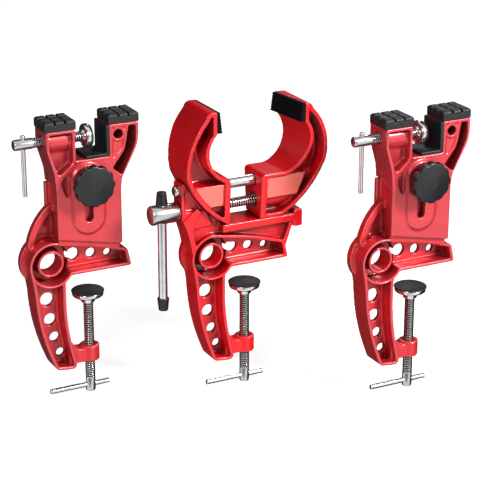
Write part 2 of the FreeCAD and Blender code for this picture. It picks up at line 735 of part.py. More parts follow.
def slot_liner():
    """Rubber angle that lines the floor and the right wall of the ski slot."""
    t = LINER_THICKNESS
    return slab(traced(
        (SLOT_RIGHT - LINER_LENGTH, SLOT_FLOOR), (SLOT_RIGHT, SLOT_FLOOR), (SLOT_RIGHT, LINER_TOP),
        (SLOT_RIGHT - t, LINER_TOP), (SLOT_RIGHT - t, SLOT_FLOOR + t),
        (SLOT_RIGHT - LINER_LENGTH, SLOT_FLOOR + t),
    ), HEAD_FRONT + 0.5, HEAD_BACK - 0.5)


def side_screw():
    """Barrel with the cross hole, and the thread that ends inside the pressure disc."""
    barrel_end = SIDE_BARREL_LEFT + SIDE_BARREL_LENGTH
    tip = SIDE_DISC_LEFT + SIDE_SCREW_INTO_DISC
    r = SIDE_BARREL_DIAMETER / 2
    barrel = turned(
        [(SIDE_BARREL_LEFT, 0), (SIDE_BARREL_LEFT, r - 0.8), (SIDE_BARREL_LEFT + 0.8, r),
         (barrel_end, r), (barrel_end, 0)], (0, 0, SIDE_SCREW_Z), X_AXIS)
    shank = rod((barrel_end - 1, 0, SIDE_SCREW_Z), (tip, 0, SIDE_SCREW_Z), SIDE_SCREW_DIAMETER)
    reach = SIDE_BARREL_DIAMETER
    hole = rod(
        (SIDE_BAR_X, 0, SIDE_SCREW_Z - reach), (SIDE_BAR_X, 0, SIDE_SCREW_Z + reach),
        SIDE_BAR_DIAMETER + 2 * SCREW_CLEARANCE)
    return cut(fused(barrel, shank), hole)


def side_disc():
    """Steel pressure disc with a hub that swivels on the side screw."""
    r = SIDE_DISC_DIAMETER / 2
    a = SIDE_DISC_LEFT
    b = a + SIDE_DISC_THICKNESS
    disc = turned(
        [(a - SIDE_DISC_HUB_LENGTH, 0), (a - SIDE_DISC_HUB_LENGTH, SIDE_DISC_HUB / 2 - 1),
         (a, SIDE_DISC_HUB / 2), (a, r - 1.2), (a + 1.2, r), (b - 0.8, r), (b, r - 0.8), (b, 0)],
        (0, 0, SIDE_SCREW_Z), X_AXIS)
    socket = rod(
        (a - SIDE_DISC_HUB_LENGTH - 1, 0, SIDE_SCREW_Z),
        (a + SIDE_SCREW_INTO_DISC + SLIDE_CLEARANCE, 0, SIDE_SCREW_Z),
        SIDE_SCREW_DIAMETER + 2 * SCREW_CLEARANCE)
    return cut(disc, socket)


def side_disc_rubber():
    """Rubber face of the pressure disc."""
    start = SIDE_DISC_LEFT + SIDE_DISC_THICKNESS
    r = SIDE_DISC_DIAMETER / 2 - 0.8
    return turned(
        [(start, 0), (start, r), (start + SIDE_DISC_FACE - 0.6, r), (start + SIDE_DISC_FACE, r - 0.6),
         (start + SIDE_DISC_FACE, 0)], (0, 0, SIDE_SCREW_Z), X_AXIS)


def side_bar():
    """Tommy bar that hangs in the side screw's barrel."""
    middle = (SIDE_BAR_X, 0, SIDE_SCREW_Z - SIDE_BAR_DROP + SIDE_BAR_LENGTH / 2)
    return tommy_bar(middle, Z_AXIS, SIDE_BAR_DIAMETER, SIDE_BAR_LENGTH)


def lock_parts():
    """Stud, washer, lobed knob and the threaded insert inside the knob."""
    seat = HEAD_FRONT - STADIUM_RAISE
    knob_back = seat - WASHER_THICKNESS - KNOB_GAP
    lobes_back = knob_back - KNOB_HUB_LENGTH
    knob_front = lobes_back - KNOB_THICKNESS
    clear = LOCK_STUD_DIAMETER + 2 * SCREW_CLEARANCE
    stud = rod((STADIUM_X, LOCK_STUD_FRONT, KNOB_Z), (STADIUM_X, LOCK_STUD_BACK, KNOB_Z), LOCK_STUD_DIAMETER)
    washer = cut(
        rod((STADIUM_X, seat, KNOB_Z), (STADIUM_X, seat - WASHER_THICKNESS, KNOB_Z), WASHER_DIAMETER),
        rod((STADIUM_X, seat + 1, KNOB_Z), (STADIUM_X, knob_back - 1, KNOB_Z), clear + 0.2))
    r = KNOB_DIAMETER / 2
    blank = turned(
        [(0, 0), (0, KNOB_HUB_DIAMETER / 2), (KNOB_HUB_LENGTH, KNOB_HUB_DIAMETER / 2 + 1.5),
         (KNOB_HUB_LENGTH + 0.8, r - 1.0), (KNOB_HUB_LENGTH + 2.2, r),
         (KNOB_HUB_LENGTH + KNOB_THICKNESS - KNOB_DOME - 1.0, r),
         (KNOB_HUB_LENGTH + KNOB_THICKNESS - KNOB_DOME + 0.8, r - 1.2),
         (KNOB_HUB_LENGTH + KNOB_THICKNESS - 0.9, r * 0.55),
         (KNOB_HUB_LENGTH + KNOB_THICKNESS, r * 0.25), (KNOB_HUB_LENGTH + KNOB_THICKNESS, 0)],
        (STADIUM_X, knob_back, KNOB_Z), -Y_AXIS)
    scallop = 2 * math.pi * r / KNOB_LOBES * 0.42
    ring = r + scallop - KNOB_LOBE_DEPTH
    scallops = []
    for i in range(KNOB_LOBES):
        angle = 2 * math.pi * (i + 0.5) / KNOB_LOBES
        x = STADIUM_X + ring * math.cos(angle)
        z = KNOB_Z + ring * math.sin(angle)
        scallops.append(rod((x, knob_back + 1, z), (x, knob_front - 1, z), 2 * scallop))
    nut_front = knob_back - LOCK_NUT_LENGTH
    room = rod((STADIUM_X, knob_back + 1, KNOB_Z), (STADIUM_X, nut_front, KNOB_Z), LOCK_NUT_DIAMETER)
    well = rod((STADIUM_X, nut_front + 1, KNOB_Z), (STADIUM_X, LOCK_STUD_FRONT - 0.5, KNOB_Z), clear)
    knob = cut(blank, room, well, *scallops)
    nut = cut(
        rod((STADIUM_X, knob_back, KNOB_Z), (STADIUM_X, nut_front, KNOB_Z), LOCK_NUT_DIAMETER),
        rod((STADIUM_X, knob_back + 1, KNOB_Z), (STADIUM_X, nut_front - 1, KNOB_Z), clear))
    return {"lock_stud": stud, "lock_washer": washer, "lock_knob": knob, "lock_nut": nut}


# Centre vise: jaws

def jaw_x(side, extra, across):
    """X of a point that lies this far from the mouth face; side is -1 for the left jaw."""
    face_x = FIXED_FACE_X if side < 0 else SLIDING_FACE_X
    return face_x + side * (extra + across)


def jaw_outline(side, extra, bottom, top):
    """Front view of a jaw without its mouth: block, round back and upper tip."""
    def at(across, z):
        return jaw_x(side, extra, across), z
    reach = JAW_REACH
    tip = JAW_TIP_SETBACK + JAW_TIP_THICKNESS
    return traced(
        at(-extra, bottom), at(1.5, bottom),
        (at(reach * 0.62, bottom + 23.0), at(reach - 0.3, JAW_WAIST_Z - 4)),
        (at(reach - 1.6, JAW_WAIST_Z + 22.0), at(tip, top - 6.5)),
        (at(tip - 2.0, top - 2.6), at(tip - 6.0, top - 0.8)),
        at(-extra, top),
    )


def jaw_mouth(side, extra, taper, grow):
    """The open mouth: a slanted prism above the block, in front of the tip and along the belly."""
    def at(across, z):
        return jaw_x(side, extra, across), z
    wire = traced(
        at(-extra - 60.0, JAW_BLOCK_TOP - grow), at(grow / 2, JAW_BLOCK_TOP - grow),
        (at(JAW_BELLY - 4.6 + grow, JAW_BELLY_Z - 16.5), at(JAW_BELLY + grow, JAW_BELLY_Z)),
        (at(JAW_BELLY - 2.6 + grow, JAW_BELLY_Z + 11.0), at(JAW_TIP_SETBACK + grow, JAW_TIP_LOW)),
        at(JAW_TIP_SETBACK + grow, FIXED_TIP_TOP + 30), at(-extra - 60.0, FIXED_TIP_TOP + 30),
    )
    reach = 40.0
    face = Part.Face(wire)
    face.translate(Vector(side * taper * reach, -reach, 0))
    return face.extrude(Vector(-side * taper * 2 * reach, 2 * reach, 0))


def jaw_envelope(low_x, high_x, set_back):
    """Side view of a jaw, narrow at the foot and wide at the tip, swept along X."""
    foot = JAW_FOOT_HALF_DEPTH - set_back
    block = JAW_BLOCK_HALF_DEPTH - set_back
    tip = JAW_TIP_HALF_DEPTH - set_back
    profile = [
        (-foot, 0.0), (-foot, DECK_TOP), (-block, JAW_BLOCK_TOP), (-tip, JAW_TIP_LOW),
        (-tip, FIXED_TIP_TOP + 10), (tip, FIXED_TIP_TOP + 10), (tip, JAW_TIP_LOW),
        (block, JAW_BLOCK_TOP), (foot, DECK_TOP), (foot, 0.0),
    ]
    points = [Vector(low_x, y, z) for y, z in profile]
    return Part.Face(Part.makePolygon(points + points[:1])).extrude(X_AXIS * (high_x - low_x))


def jaw_body(side, extra, bottom, top, taper, panel_extra):
    """A jaw casting: rims and a middle web, with the raised panels around its bores."""
    low_x = min(FIXED_FACE_X - JAW_REACH - 10, SLIDING_FACE_X)
    high_x = SLIDING_FACE_X + SLIDING_EXTRA + JAW_REACH + 10
    face_x = jaw_x(side, extra, -extra)
    outline = jaw_outline(side, extra, bottom, top)
    deep = JAW_TIP_HALF_DEPTH + 2
    mouth = jaw_mouth(side, extra, taper, 0.0)
    solid = slab(outline, -deep, deep).common(jaw_envelope(low_x, high_x, 0.0))
    solid = cut(solid, mouth)
    hollow = cut(
        slab(inset(outline, JAW_RIM), -deep, deep), jaw_mouth(side, extra, taper, JAW_RIM),
        slab(traced(
            (face_x, 0.0), (face_x + side * JAW_FACE_RIM, 0.0),
            (face_x + side * JAW_FACE_RIM, JAW_BLOCK_TOP), (face_x, JAW_BLOCK_TOP),
        ), -deep - 1, deep + 1))
    web = box((low_x, -JAW_WEB / 2, 0), (high_x, JAW_WEB / 2, FIXED_TIP_TOP + 10))
    panel_end = jaw_x(side, extra, JAW_PANEL_LENGTH + panel_extra)
    foot_end = jaw_x(side, extra, JAW_PANEL_LENGTH + panel_extra - JAW_PANEL_SLANT)
    block_in = jaw_x(side, extra, -extra + JAW_FACE_RIM / 2)
    panel = slab(traced(
        (block_in, JAW_PANEL_LOW), (foot_end, JAW_PANEL_LOW), (panel_end, JAW_BLOCK_TOP - JAW_RIM),
        (block_in, JAW_BLOCK_TOP - JAW_RIM),
    ), -deep, deep).common(jaw_envelope(low_x, high_x, JAW_PANEL_SET_BACK))
    far = jaw_x(side, extra, JAW_REACH)
    boss = rod((face_x, 0, LEAD_Z), (far, 0, LEAD_Z), 2 * SCREW_BOSS_RADIUS)
    sleeve = rod((face_x, 0, ROD_Z), (far, 0, ROD_Z), 2 * ROD_BOSS_RADIUS)
    return cut(solid, cut(hollow, web, panel, boss, sleeve))


def fixed_jaw():
    """Left jaw, bolted on the saddle; the rod is held in it and the lead screw runs through it."""
    body = jaw_body(-1, 0.0, DECK_TOP, FIXED_TIP_TOP, 0.0, FIXED_PANEL_EXTRA)
    rod_bore = rod((FIXED_FACE_X + 1, 0, ROD_Z), (ROD_LEFT, 0, ROD_Z), ROD_DIAMETER)
    screw_bore = rod(
        (FIXED_FACE_X + 1, 0, LEAD_Z), (BRACKET_LEFT - 1, 0, LEAD_Z), LEAD_DIAMETER + 2 * FREE_CLEARANCE)
    tapped = rod(
        (JAW_SET_SCREW_X, 0, ROD_Z), (JAW_SET_SCREW_X, JAW_TIP_HALF_DEPTH, ROD_Z), SET_SCREW_DIAMETER)
    return cut(body, rod_bore, screw_bore, tapped)


def sliding_jaw():
    """Right jaw: it slides on the guide rod and is drawn along by the nut on the lead screw."""
    body = jaw_body(1, SLIDING_EXTRA, DECK_TOP + SLIDE_CLEARANCE, SLIDING_TIP_TOP, JAW_MOUTH_TAPER, 0.0)
    edge = BLOCK_EDGE_RADIUS
    middle_x, middle_z = SLIDING_FACE_X + edge, JAW_BLOCK_TOP - edge
    corner = cut(
        box(
            (SLIDING_FACE_X - 1, -JAW_TIP_HALF_DEPTH, middle_z),
            (middle_x, JAW_TIP_HALF_DEPTH, JAW_BLOCK_TOP + 1)),
        rod(
            (middle_x, -JAW_TIP_HALF_DEPTH - 1, middle_z),
            (middle_x, JAW_TIP_HALF_DEPTH + 1, middle_z), 2 * edge))
    far = SLIDING_FACE_X + SLIDING_EXTRA + JAW_REACH + 5
    rod_bore = rod((SLIDING_FACE_X - 1, 0, ROD_Z), (far, 0, ROD_Z), ROD_DIAMETER + 2 * SCREW_CLEARANCE)
    screw_bore = rod((SLIDING_FACE_X - 1, 0, LEAD_Z), (far, 0, LEAD_Z), LEAD_DIAMETER + 2 * FREE_CLEARANCE)
    nut_seat = rod(
        (SLIDING_FACE_X - 1, 0, LEAD_Z), (SLIDING_FACE_X + JAW_NUT_LENGTH, 0, LEAD_Z), JAW_NUT_DIAMETER)
    return cut(body, corner, rod_bore, screw_bore, nut_seat)


def jaw_pad(side, extra, top, taper):
    """Ridged rubber block on the tip of a jaw, thicker at its foot."""
    seat = JAW_TIP_SETBACK
    high = top - 1.0
    low = JAW_PAD_LOW
    step = (high - low) / JAW_PAD_RIDGES
    points = [(seat, low), (seat, high)]
    for i in range(JAW_PAD_RIDGES):
        share = i / JAW_PAD_RIDGES
        thick = JAW_PAD_TOP_THICKNESS + (JAW_PAD_THICKNESS - JAW_PAD_TOP_THICKNESS) * share
        points.append((seat - thick + JAW_PAD_RIDGE_DEPTH, high - i * step))
        points.append((seat - thick - 0.1, high - (i + 0.7) * step))
    points.append((seat - JAW_PAD_THICKNESS, low))
    corners = [Vector(jaw_x(side, extra, across), 0, z) for across, z in points]
    face = Part.Face(Part.makePolygon(corners + corners[:1]))
    half = JAW_TIP_HALF_DEPTH - 0.8
    face.translate(Vector(side * taper * half, -half, 0))
    return face.extrude(Vector(-side * taper * 2 * half, 2 * half, 0))


# Centre vise: frame

def centre_frame():
    """C-clamp with the saddle deck, the right stop, the cradle and the bracket for the barrel."""
    base = c_frame()
    low = DECK_TOP - DECK_THICKNESS
    half = DECK_HALF_DEPTH
    deck = box((DECK_LEFT, -half, low), (DECK_RIGHT + STOP_THICKNESS, half, DECK_TOP))
    stop = box((DECK_RIGHT, -half, STOP_BOTTOM), (DECK_RIGHT + STOP_THICKNESS, half, STOP_TOP))
    stop = stop.makeFillet(1.5, [e for e in stop.Edges if abs(e.Curve.Direction.y) > 0.9])
    neck = slab(traced(
        (-58.0, 24.0), (ARM_REACH - 2.0, ARM_TIP_HEIGHT - 4.0),
        (DECK_RIGHT, STOP_BOTTOM + 2), (DECK_RIGHT, low + 1), (-26.0, low + 1),
        (-26.0, 62.0), (-62.0, 78.0), (-66.0, 45.0),
    ), NECK_FRONT, FRAME_BACK)
    neck = cut(neck, slab(jaw_outline(-1, 0.0, DECK_TOP, FIXED_TIP_TOP), -half - 20, half + 20))
    end_rib = slab(traced(
        (ARM_REACH - 2.0 - NECK_RIB, ARM_TIP_HEIGHT - 2.0), (ARM_REACH - 2.0, ARM_TIP_HEIGHT - 4.0),
        (DECK_RIGHT, STOP_BOTTOM + 2), (DECK_RIGHT, low + 1), (DECK_RIGHT - NECK_RIB, low + 1),
        (DECK_RIGHT - NECK_RIB, STOP_BOTTOM + 2),
    ), -FRAME_FRONT, FRAME_BACK)
    keep = slab(inset(frame_outline(), RIM / 2), -FRAME_FRONT - 1, WEB_FRONT)
    cradle = slab(traced(
        (-58.0, 24.0), (-63.0, 20.0), ((-66.5, 38.0), (BRACKET_LEFT + 0.5, 54.0)), (-58.0, 66.0),
        (-52.0, 62.0), ((-60.0, 50.0), (-61.0, 36.0)),
    ), -CRADLE_HALF_DEPTH, CRADLE_HALF_DEPTH)
    bracket_side = rounded([
        (BRACKET_LEFT, BRACKET_TOP, 3.0), (BRACKET_LEFT, 54.0, 3.0), (BRACKET_LEFT + 10.5, 44.0),
        (-40.0, 46.0), (-50.0, 75.0), (BRACKET_LEFT + 8.5, BRACKET_TOP),
    ])
    bracket = slab(bracket_side, -BRACKET_HALF_DEPTH, BRACKET_HALF_DEPTH)
    jaw_room = slab(jaw_outline(-1, 0.0, DECK_TOP, FIXED_TIP_TOP), -half - 20, half + 20)
    upper = cut(fused(cradle, bracket), jaw_room)
    lower = cut(fused(neck, end_rib), keep)
    casting = fused(base, cut(fused(lower, upper), ring_room()), deck, stop)
    collar_seat = BRACKET_LEFT + COLLAR_WALL
    bores = [
        rod((collar_seat, 0, LEAD_Z), (FIXED_FACE_X, 0, LEAD_Z), COLLAR_DIAMETER + 2 * COLLAR_GAP),
        rod((ROD_LEFT - 1, 0, ROD_Z), (FIXED_FACE_X, 0, ROD_Z), ROD_DIAMETER),
        rod((BRACKET_LEFT - 1, 0, LEAD_Z), (FIXED_FACE_X, 0, LEAD_Z), LEAD_DIAMETER + 2 * SCREW_CLEARANCE),
    ]
    tapped = rod(
        (BRACKET_SET_SCREW_X, 0, ROD_Z), (BRACKET_SET_SCREW_X, BRACKET_HALF_DEPTH + 1, ROD_Z),
        SET_SCREW_DIAMETER)
    recess = slab(rounded([
        (BRACKET_LEFT + BRACKET_RIM, 84.5), (BRACKET_LEFT + BRACKET_RIM, 63.5),
        (BRACKET_LEFT + 19.5, 63.5), (BRACKET_LEFT + 5.5, 84.5),
    ]), -BRACKET_HALF_DEPTH - 1, -BRACKET_HALF_DEPTH + BRACKET_RECESS)
    return cut(casting, recess, tapped, *bores)


def guide_rod():
    """Ground steel rod, held in bracket and fixed jaw."""
    r = ROD_DIAMETER / 2
    a, b, c = ROD_LEFT, ROD_LEFT + ROD_LENGTH, ROD_CHAMFER
    return turned([(a, 0), (a, r - c), (a + c, r), (b - c, r), (b, r - c), (b, 0)], (0, 0, ROD_Z), X_AXIS)


def lead_screw():
    """Barrel with the cross hole and the long thread that draws the sliding jaw."""
    r = BARREL_DIAMETER / 2
    a, b, c = BARREL_LEFT, BRACKET_LEFT - BARREL_GAP, BARREL_CHAMFER
    barrel = turned([(a, 0), (a, r - c), (a + c, r), (b - c, r), (b, r - c), (b, 0)], (0, 0, LEAD_Z), X_AXIS)
    shank = rod((b - 1, 0, LEAD_Z), (LEAD_RIGHT, 0, LEAD_Z), LEAD_DIAMETER)
    hole = rod(
        (HANDLE_X, 0, LEAD_Z - r - 1), (HANDLE_X, 0, LEAD_Z + r + 1), HANDLE_DIAMETER + 2 * SCREW_CLEARANCE)
    return cut(fused(barrel, shank), hole)


def screw_collar():
    """Ring on the lead screw that bears against the shoulder inside the bracket."""
    start = BRACKET_LEFT + COLLAR_WALL + COLLAR_GAP
    return cut(
        rod((start, 0, LEAD_Z), (start + COLLAR_LENGTH, 0, LEAD_Z), COLLAR_DIAMETER),
        rod((start - 1, 0, LEAD_Z), (start + COLLAR_LENGTH + 1, 0, LEAD_Z), LEAD_DIAMETER))


def jaw_nut():
    """Round steel nut seated in the sliding jaw."""
    start, end = SLIDING_FACE_X + 1.0, SLIDING_FACE_X + JAW_NUT_LENGTH
    return cut(
        rod((start, 0, LEAD_Z), (end, 0, LEAD_Z), JAW_NUT_DIAMETER),
        rod((start - 1, 0, LEAD_Z), (end + 1, 0, LEAD_Z), LEAD_DIAMETER + 2 * SCREW_CLEARANCE))


def handle_bar():
    """Steel bar through the barrel; it hangs on its upper cap."""
    top = LEAD_Z + BARREL_DIAMETER / 2 + HANDLE_CAP_COVER + 0.2
    return rod((HANDLE_X, 0, top - HANDLE_LENGTH), (HANDLE_X, 0, top), HANDLE_DIAMETER)


def handle_caps():
    """The two tapered plastic caps on the handle bar."""
    rest = LEAD_Z + BARREL_DIAMETER / 2 + 0.2
    top = rest + HANDLE_CAP_COVER
    bottom = top - HANDLE_LENGTH
    caps = []
    for inner_z, bar_end, way in ((rest, top, 1), (bottom + HANDLE_CAP_COVER, bottom, -1)):
        end_z = inner_z + way * HANDLE_CAP_LENGTH
        shell = cone((HANDLE_X, 0, inner_z), (HANDLE_X, 0, end_z), HANDLE_CAP_INNER, HANDLE_CAP_OUTER)
        caps.append(cut(shell, rod((HANDLE_X, 0, inner_z - way), (HANDLE_X, 0, bar_end), HANDLE_DIAMETER)))
    return Part.makeCompound(caps)


def rod_set_screws():
    """Two set screws from behind that hold the guide rod in the bracket and in the fixed jaw."""
    share = (ROD_Z - DECK_TOP) / (JAW_BLOCK_TOP - DECK_TOP)
    jaw_back = JAW_FOOT_HALF_DEPTH + (JAW_BLOCK_HALF_DEPTH - JAW_FOOT_HALF_DEPTH) * share - JAW_PANEL_SET_BACK
    seat = ROD_DIAMETER / 2
    return Part.makeCompound([
        rod((x, seat, ROD_Z), (x, back - SET_SCREW_SINK, ROD_Z), SET_SCREW_DIAMETER)
        for x, back in ((BRACKET_SET_SCREW_X, BRACKET_HALF_DEPTH), (JAW_SET_SCREW_X, jaw_back))
    ])


# Assembly

def bench_clamp_parts():
    """The four pieces of one bench screw."""
    return {
        "clamp_spindle": clamp_spindle(),
        "clamp_cup": clamp_cup(),
        "clamp_rubber": clamp_rubber(),
        "clamp_bar": clamp_bar(),
    }


def end_vise():
    """All pieces of one end vise about its own origin."""
    pieces = {
        "frame": end_frame(),
        "head": head(),
        "outer_rest_pad": rest_pad(POST_OUTER_LEFT - REST_PAD_OVERHANG),
        "inner_rest_pad": rest_pad(POST_OUTER_RIGHT + REST_PAD_OVERHANG - REST_PAD_WIDTH),
        "slot_liner": slot_liner(),
        "side_screw": side_screw(),
        "side_disc": side_disc(),
        "side_disc_face": side_disc_rubber(),
        "side_bar": side_bar(),
    }
    pieces.update(lock_parts())
    pieces.update(bench_clamp_parts())
    return pieces


def centre_vise():
    """All pieces of the centre vise."""
    pieces = {
        "frame": centre_frame(),
        "fixed_jaw": fixed_jaw(),
        "sliding_jaw": sliding_jaw(),
        "fixed_jaw_pad": jaw_pad(-1, 0.0, FIXED_TIP_TOP, 0.0),
        "sliding_jaw_pad": jaw_pad(1, SLIDING_EXTRA, SLIDING_TIP_TOP, JAW_MOUTH_TAPER),
        "guide_rod": guide_rod(),
        "lead_screw": lead_screw(),
        "screw_collar": screw_collar(),
        "jaw_nut": jaw_nut(),
        "handle_bar": handle_bar(),
        "handle_caps": handle_caps(),
        "rod_set_screws": rod_set_screws(),
    }
    pieces.update(bench_clamp_parts())
    return pieces


def main():
    os.makedirs("parts", exist_ok=True)
    ends = end_vise()
    for unit, pieces, place in (
        ("centre", centre_vise(), Vector(0, 0, 0)),
        ("left", ends, LEFT_AT),
        ("right", ends, RIGHT_AT),
    ):
        for name, shape in pieces.items():
            placed = shape.copy()
            placed.translate(place)
            placed.exportStep(os.path.join("parts", f"{unit}_{name}.step"))
            print(unit, name, "solids", len(placed.Solids), "valid", placed.isValid(), round(placed.Volume))


main()
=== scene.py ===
import json

import bmesh
import bpy
import numpy as np
from mathutils import Matrix, Vector


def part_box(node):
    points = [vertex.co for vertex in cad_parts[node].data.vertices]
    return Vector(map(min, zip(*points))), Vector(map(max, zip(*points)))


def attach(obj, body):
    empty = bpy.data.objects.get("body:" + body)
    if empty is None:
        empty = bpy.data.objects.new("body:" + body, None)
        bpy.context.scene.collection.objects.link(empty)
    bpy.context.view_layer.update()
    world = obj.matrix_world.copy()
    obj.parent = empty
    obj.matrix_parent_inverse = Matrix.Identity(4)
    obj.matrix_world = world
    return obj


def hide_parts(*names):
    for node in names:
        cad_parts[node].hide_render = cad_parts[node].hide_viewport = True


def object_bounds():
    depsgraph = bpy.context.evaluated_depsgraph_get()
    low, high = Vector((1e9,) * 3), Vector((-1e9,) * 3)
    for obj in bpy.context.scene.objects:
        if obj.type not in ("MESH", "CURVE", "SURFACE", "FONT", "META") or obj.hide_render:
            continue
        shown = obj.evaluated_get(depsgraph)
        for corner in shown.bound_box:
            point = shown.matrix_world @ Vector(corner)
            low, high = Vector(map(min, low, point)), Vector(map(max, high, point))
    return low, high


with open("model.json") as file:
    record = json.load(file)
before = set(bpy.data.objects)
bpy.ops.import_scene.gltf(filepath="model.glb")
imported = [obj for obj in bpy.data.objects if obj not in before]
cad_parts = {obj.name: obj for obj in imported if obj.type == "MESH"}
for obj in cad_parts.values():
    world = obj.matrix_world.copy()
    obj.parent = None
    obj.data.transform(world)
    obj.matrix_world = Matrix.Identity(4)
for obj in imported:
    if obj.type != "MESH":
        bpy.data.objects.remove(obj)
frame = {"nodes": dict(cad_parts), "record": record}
cad_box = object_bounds()
MM = 0.001


# Camera
# The photograph's view: from the left and a little above, through a long lens, with all three
# vises in the frame.

CAMERA_AT = Vector((-724.7, -1412.8, 607.9)) * MM
CAMERA_TURN = np.radians(27.0)
CAMERA_DROP = np.radians(20.3)
CAMERA_LENS = 127.5

camera_data = bpy.data.cameras.new("camera")
camera_data.lens = CAMERA_LENS
camera_data.sensor_width = 36.0
camera_data.clip_end = 20.0
camera = bpy.data.objects.new("camera", camera_data)
bpy.context.scene.collection.objects.link(camera)
looking = Vector((
    np.sin(CAMERA_TURN) * np.cos(CAMERA_DROP), np.cos(CAMERA_TURN) * np.cos(CAMERA_DROP),
    -np.sin(CAMERA_DROP)))
camera.location = CAMERA_AT
camera.rotation_mode = "QUATERNION"
camera.rotation_quaternion = looking.to_track_quat("-Z", "Y")
bpy.context.scene.camera = camera
bpy.context.scene.view_settings.view_transform = "Standard"


# Studio
# A plain pale floor just under the lowest screws, a white surround, and soft lamps from the upper
# left, the front right and behind.

FLOOR_GAP = 0.2 * MM
FLOOR_HALF = 4.0
FLOOR_COLOUR = (0.62, 0.62, 0.62, 1.0)
FLOOR_GLOW = 0.80
SURROUND_LIGHT = 0.15
SURROUND_METAL = 1.00
FLAG_METAL = 0.16
BEHIND_METAL = 0.03
FLAG_TURN = np.radians(-12.0)


def new_material(name):
    """Empty node material with its output, as (material, nodes, links, output)."""
    material = bpy.data.materials.new(name)
    material.use_nodes = True
    nodes, links = material.node_tree.nodes, material.node_tree.links
    nodes.clear()
    return material, nodes, links, nodes.new("ShaderNodeOutputMaterial")


def group_with(name, sockets_in, sockets_out):
    """New shader node group; each socket is (name, type, default)."""
    group = bpy.data.node_groups.new(name, "ShaderNodeTree")
    for label, kind, default in sockets_in:
        socket = group.interface.new_socket(label, in_out="INPUT", socket_type=kind)
        if default is not None:
            socket.default_value = default
    for label, kind in sockets_out:
        group.interface.new_socket(label, in_out="OUTPUT", socket_type=kind)
    return group, group.nodes.new("NodeGroupInput"), group.nodes.new("NodeGroupOutput")


def studio_in_metal_group():
    """What a reflection shows one way: a dark flag round the camera, bright sides, dark behind."""
    group, start, end = group_with(
        "studio_in_metal", [("Direction", "NodeSocketVector", None)], [("Value", "NodeSocketFloat")])
    nodes, links = group.nodes, group.links
    facing = nodes.new("ShaderNodeVectorMath")
    facing.operation = "DOT_PRODUCT"
    facing.inputs[1].default_value = Matrix.Rotation(FLAG_TURN, 3, "Z") @ -looking
    links.new(start.outputs["Direction"], facing.inputs[0])
    spread = nodes.new("ShaderNodeMapRange")
    spread.inputs["From Min"].default_value = -1.0
    links.new(facing.outputs["Value"], spread.inputs["Value"])
    shade = nodes.new("ShaderNodeValToRGB")
    ramp = shade.color_ramp
    ramp.elements[0].position = 0.0
    ramp.elements[0].color = (BEHIND_METAL, BEHIND_METAL, BEHIND_METAL, 1.0)
    ramp.elements[1].position = 1.0
    ramp.elements[1].color = (FLAG_METAL, FLAG_METAL, FLAG_METAL, 1.0)
    for position, value in (
            (0.46, BEHIND_METAL), (0.56, SURROUND_METAL), (0.80, SURROUND_METAL), (0.90, 0.28)):
        ramp.elements.new(position).color = (value, value, value, 1.0)
    links.new(spread.outputs["Result"], shade.inputs["Fac"])
    links.new(shade.outputs["Color"], end.inputs["Value"])
    return group


STUDIO_IN_METAL = studio_in_metal_group()


def floor_material():
    """White board: lit and lifted for the camera, part of the studio for the metal, plain else."""
    material, nodes, links, output = new_material("pale_floor")
    board = nodes.new("ShaderNodeBsdfDiffuse")
    board.inputs["Color"].default_value = FLOOR_COLOUR
    glow = nodes.new("ShaderNodeEmission")
    glow.inputs["Strength"].default_value = FLOOR_GLOW
    even = nodes.new("ShaderNodeEmission")
    geometry = nodes.new("ShaderNodeNewGeometry")
    away = nodes.new("ShaderNodeVectorMath")
    away.operation = "SCALE"
    away.inputs["Scale"].default_value = -1.0
    mirrored = nodes.new("ShaderNodeGroup")
    mirrored.node_tree = STUDIO_IN_METAL
    links.new(geometry.outputs["Incoming"], away.inputs[0])
    links.new(away.outputs[0], mirrored.inputs["Direction"])
    links.new(mirrored.outputs["Value"], even.inputs["Strength"])
    path = nodes.new("ShaderNodeLightPath")
    lifted = nodes.new("ShaderNodeAddShader")
    for_camera = nodes.new("ShaderNodeMixShader")
    for_metal = nodes.new("ShaderNodeMixShader")
    links.new(board.outputs[0], lifted.inputs[0])
    links.new(glow.outputs[0], lifted.inputs[1])
    links.new(path.outputs["Is Camera Ray"], for_camera.inputs["Fac"])
    links.new(board.outputs[0], for_camera.inputs[1])
    links.new(lifted.outputs[0], for_camera.inputs[2])
    links.new(path.outputs["Is Glossy Ray"], for_metal.inputs["Fac"])
    links.new(for_camera.outputs[0], for_metal.inputs[1])
    links.new(even.outputs[0], for_metal.inputs[2])
    links.new(for_metal.outputs[0], output.inputs["Surface"])
    return material


floor_mesh = bpy.data.meshes.new("floor")
floor_level = cad_box[0].z - FLOOR_GAP
floor_mesh.from_pydata(
    [(x, y, floor_level) for x, y in (
        (-FLOOR_HALF, -FLOOR_HALF), (FLOOR_HALF, -FLOOR_HALF), (FLOOR_HALF, FLOOR_HALF),
        (-FLOOR_HALF, FLOOR_HALF))], [], [(0, 1, 2, 3)])
floor = bpy.data.objects.new("floor", floor_mesh)
floor.data.materials.append(floor_material())
bpy.context.scene.collection.objects.link(floor)

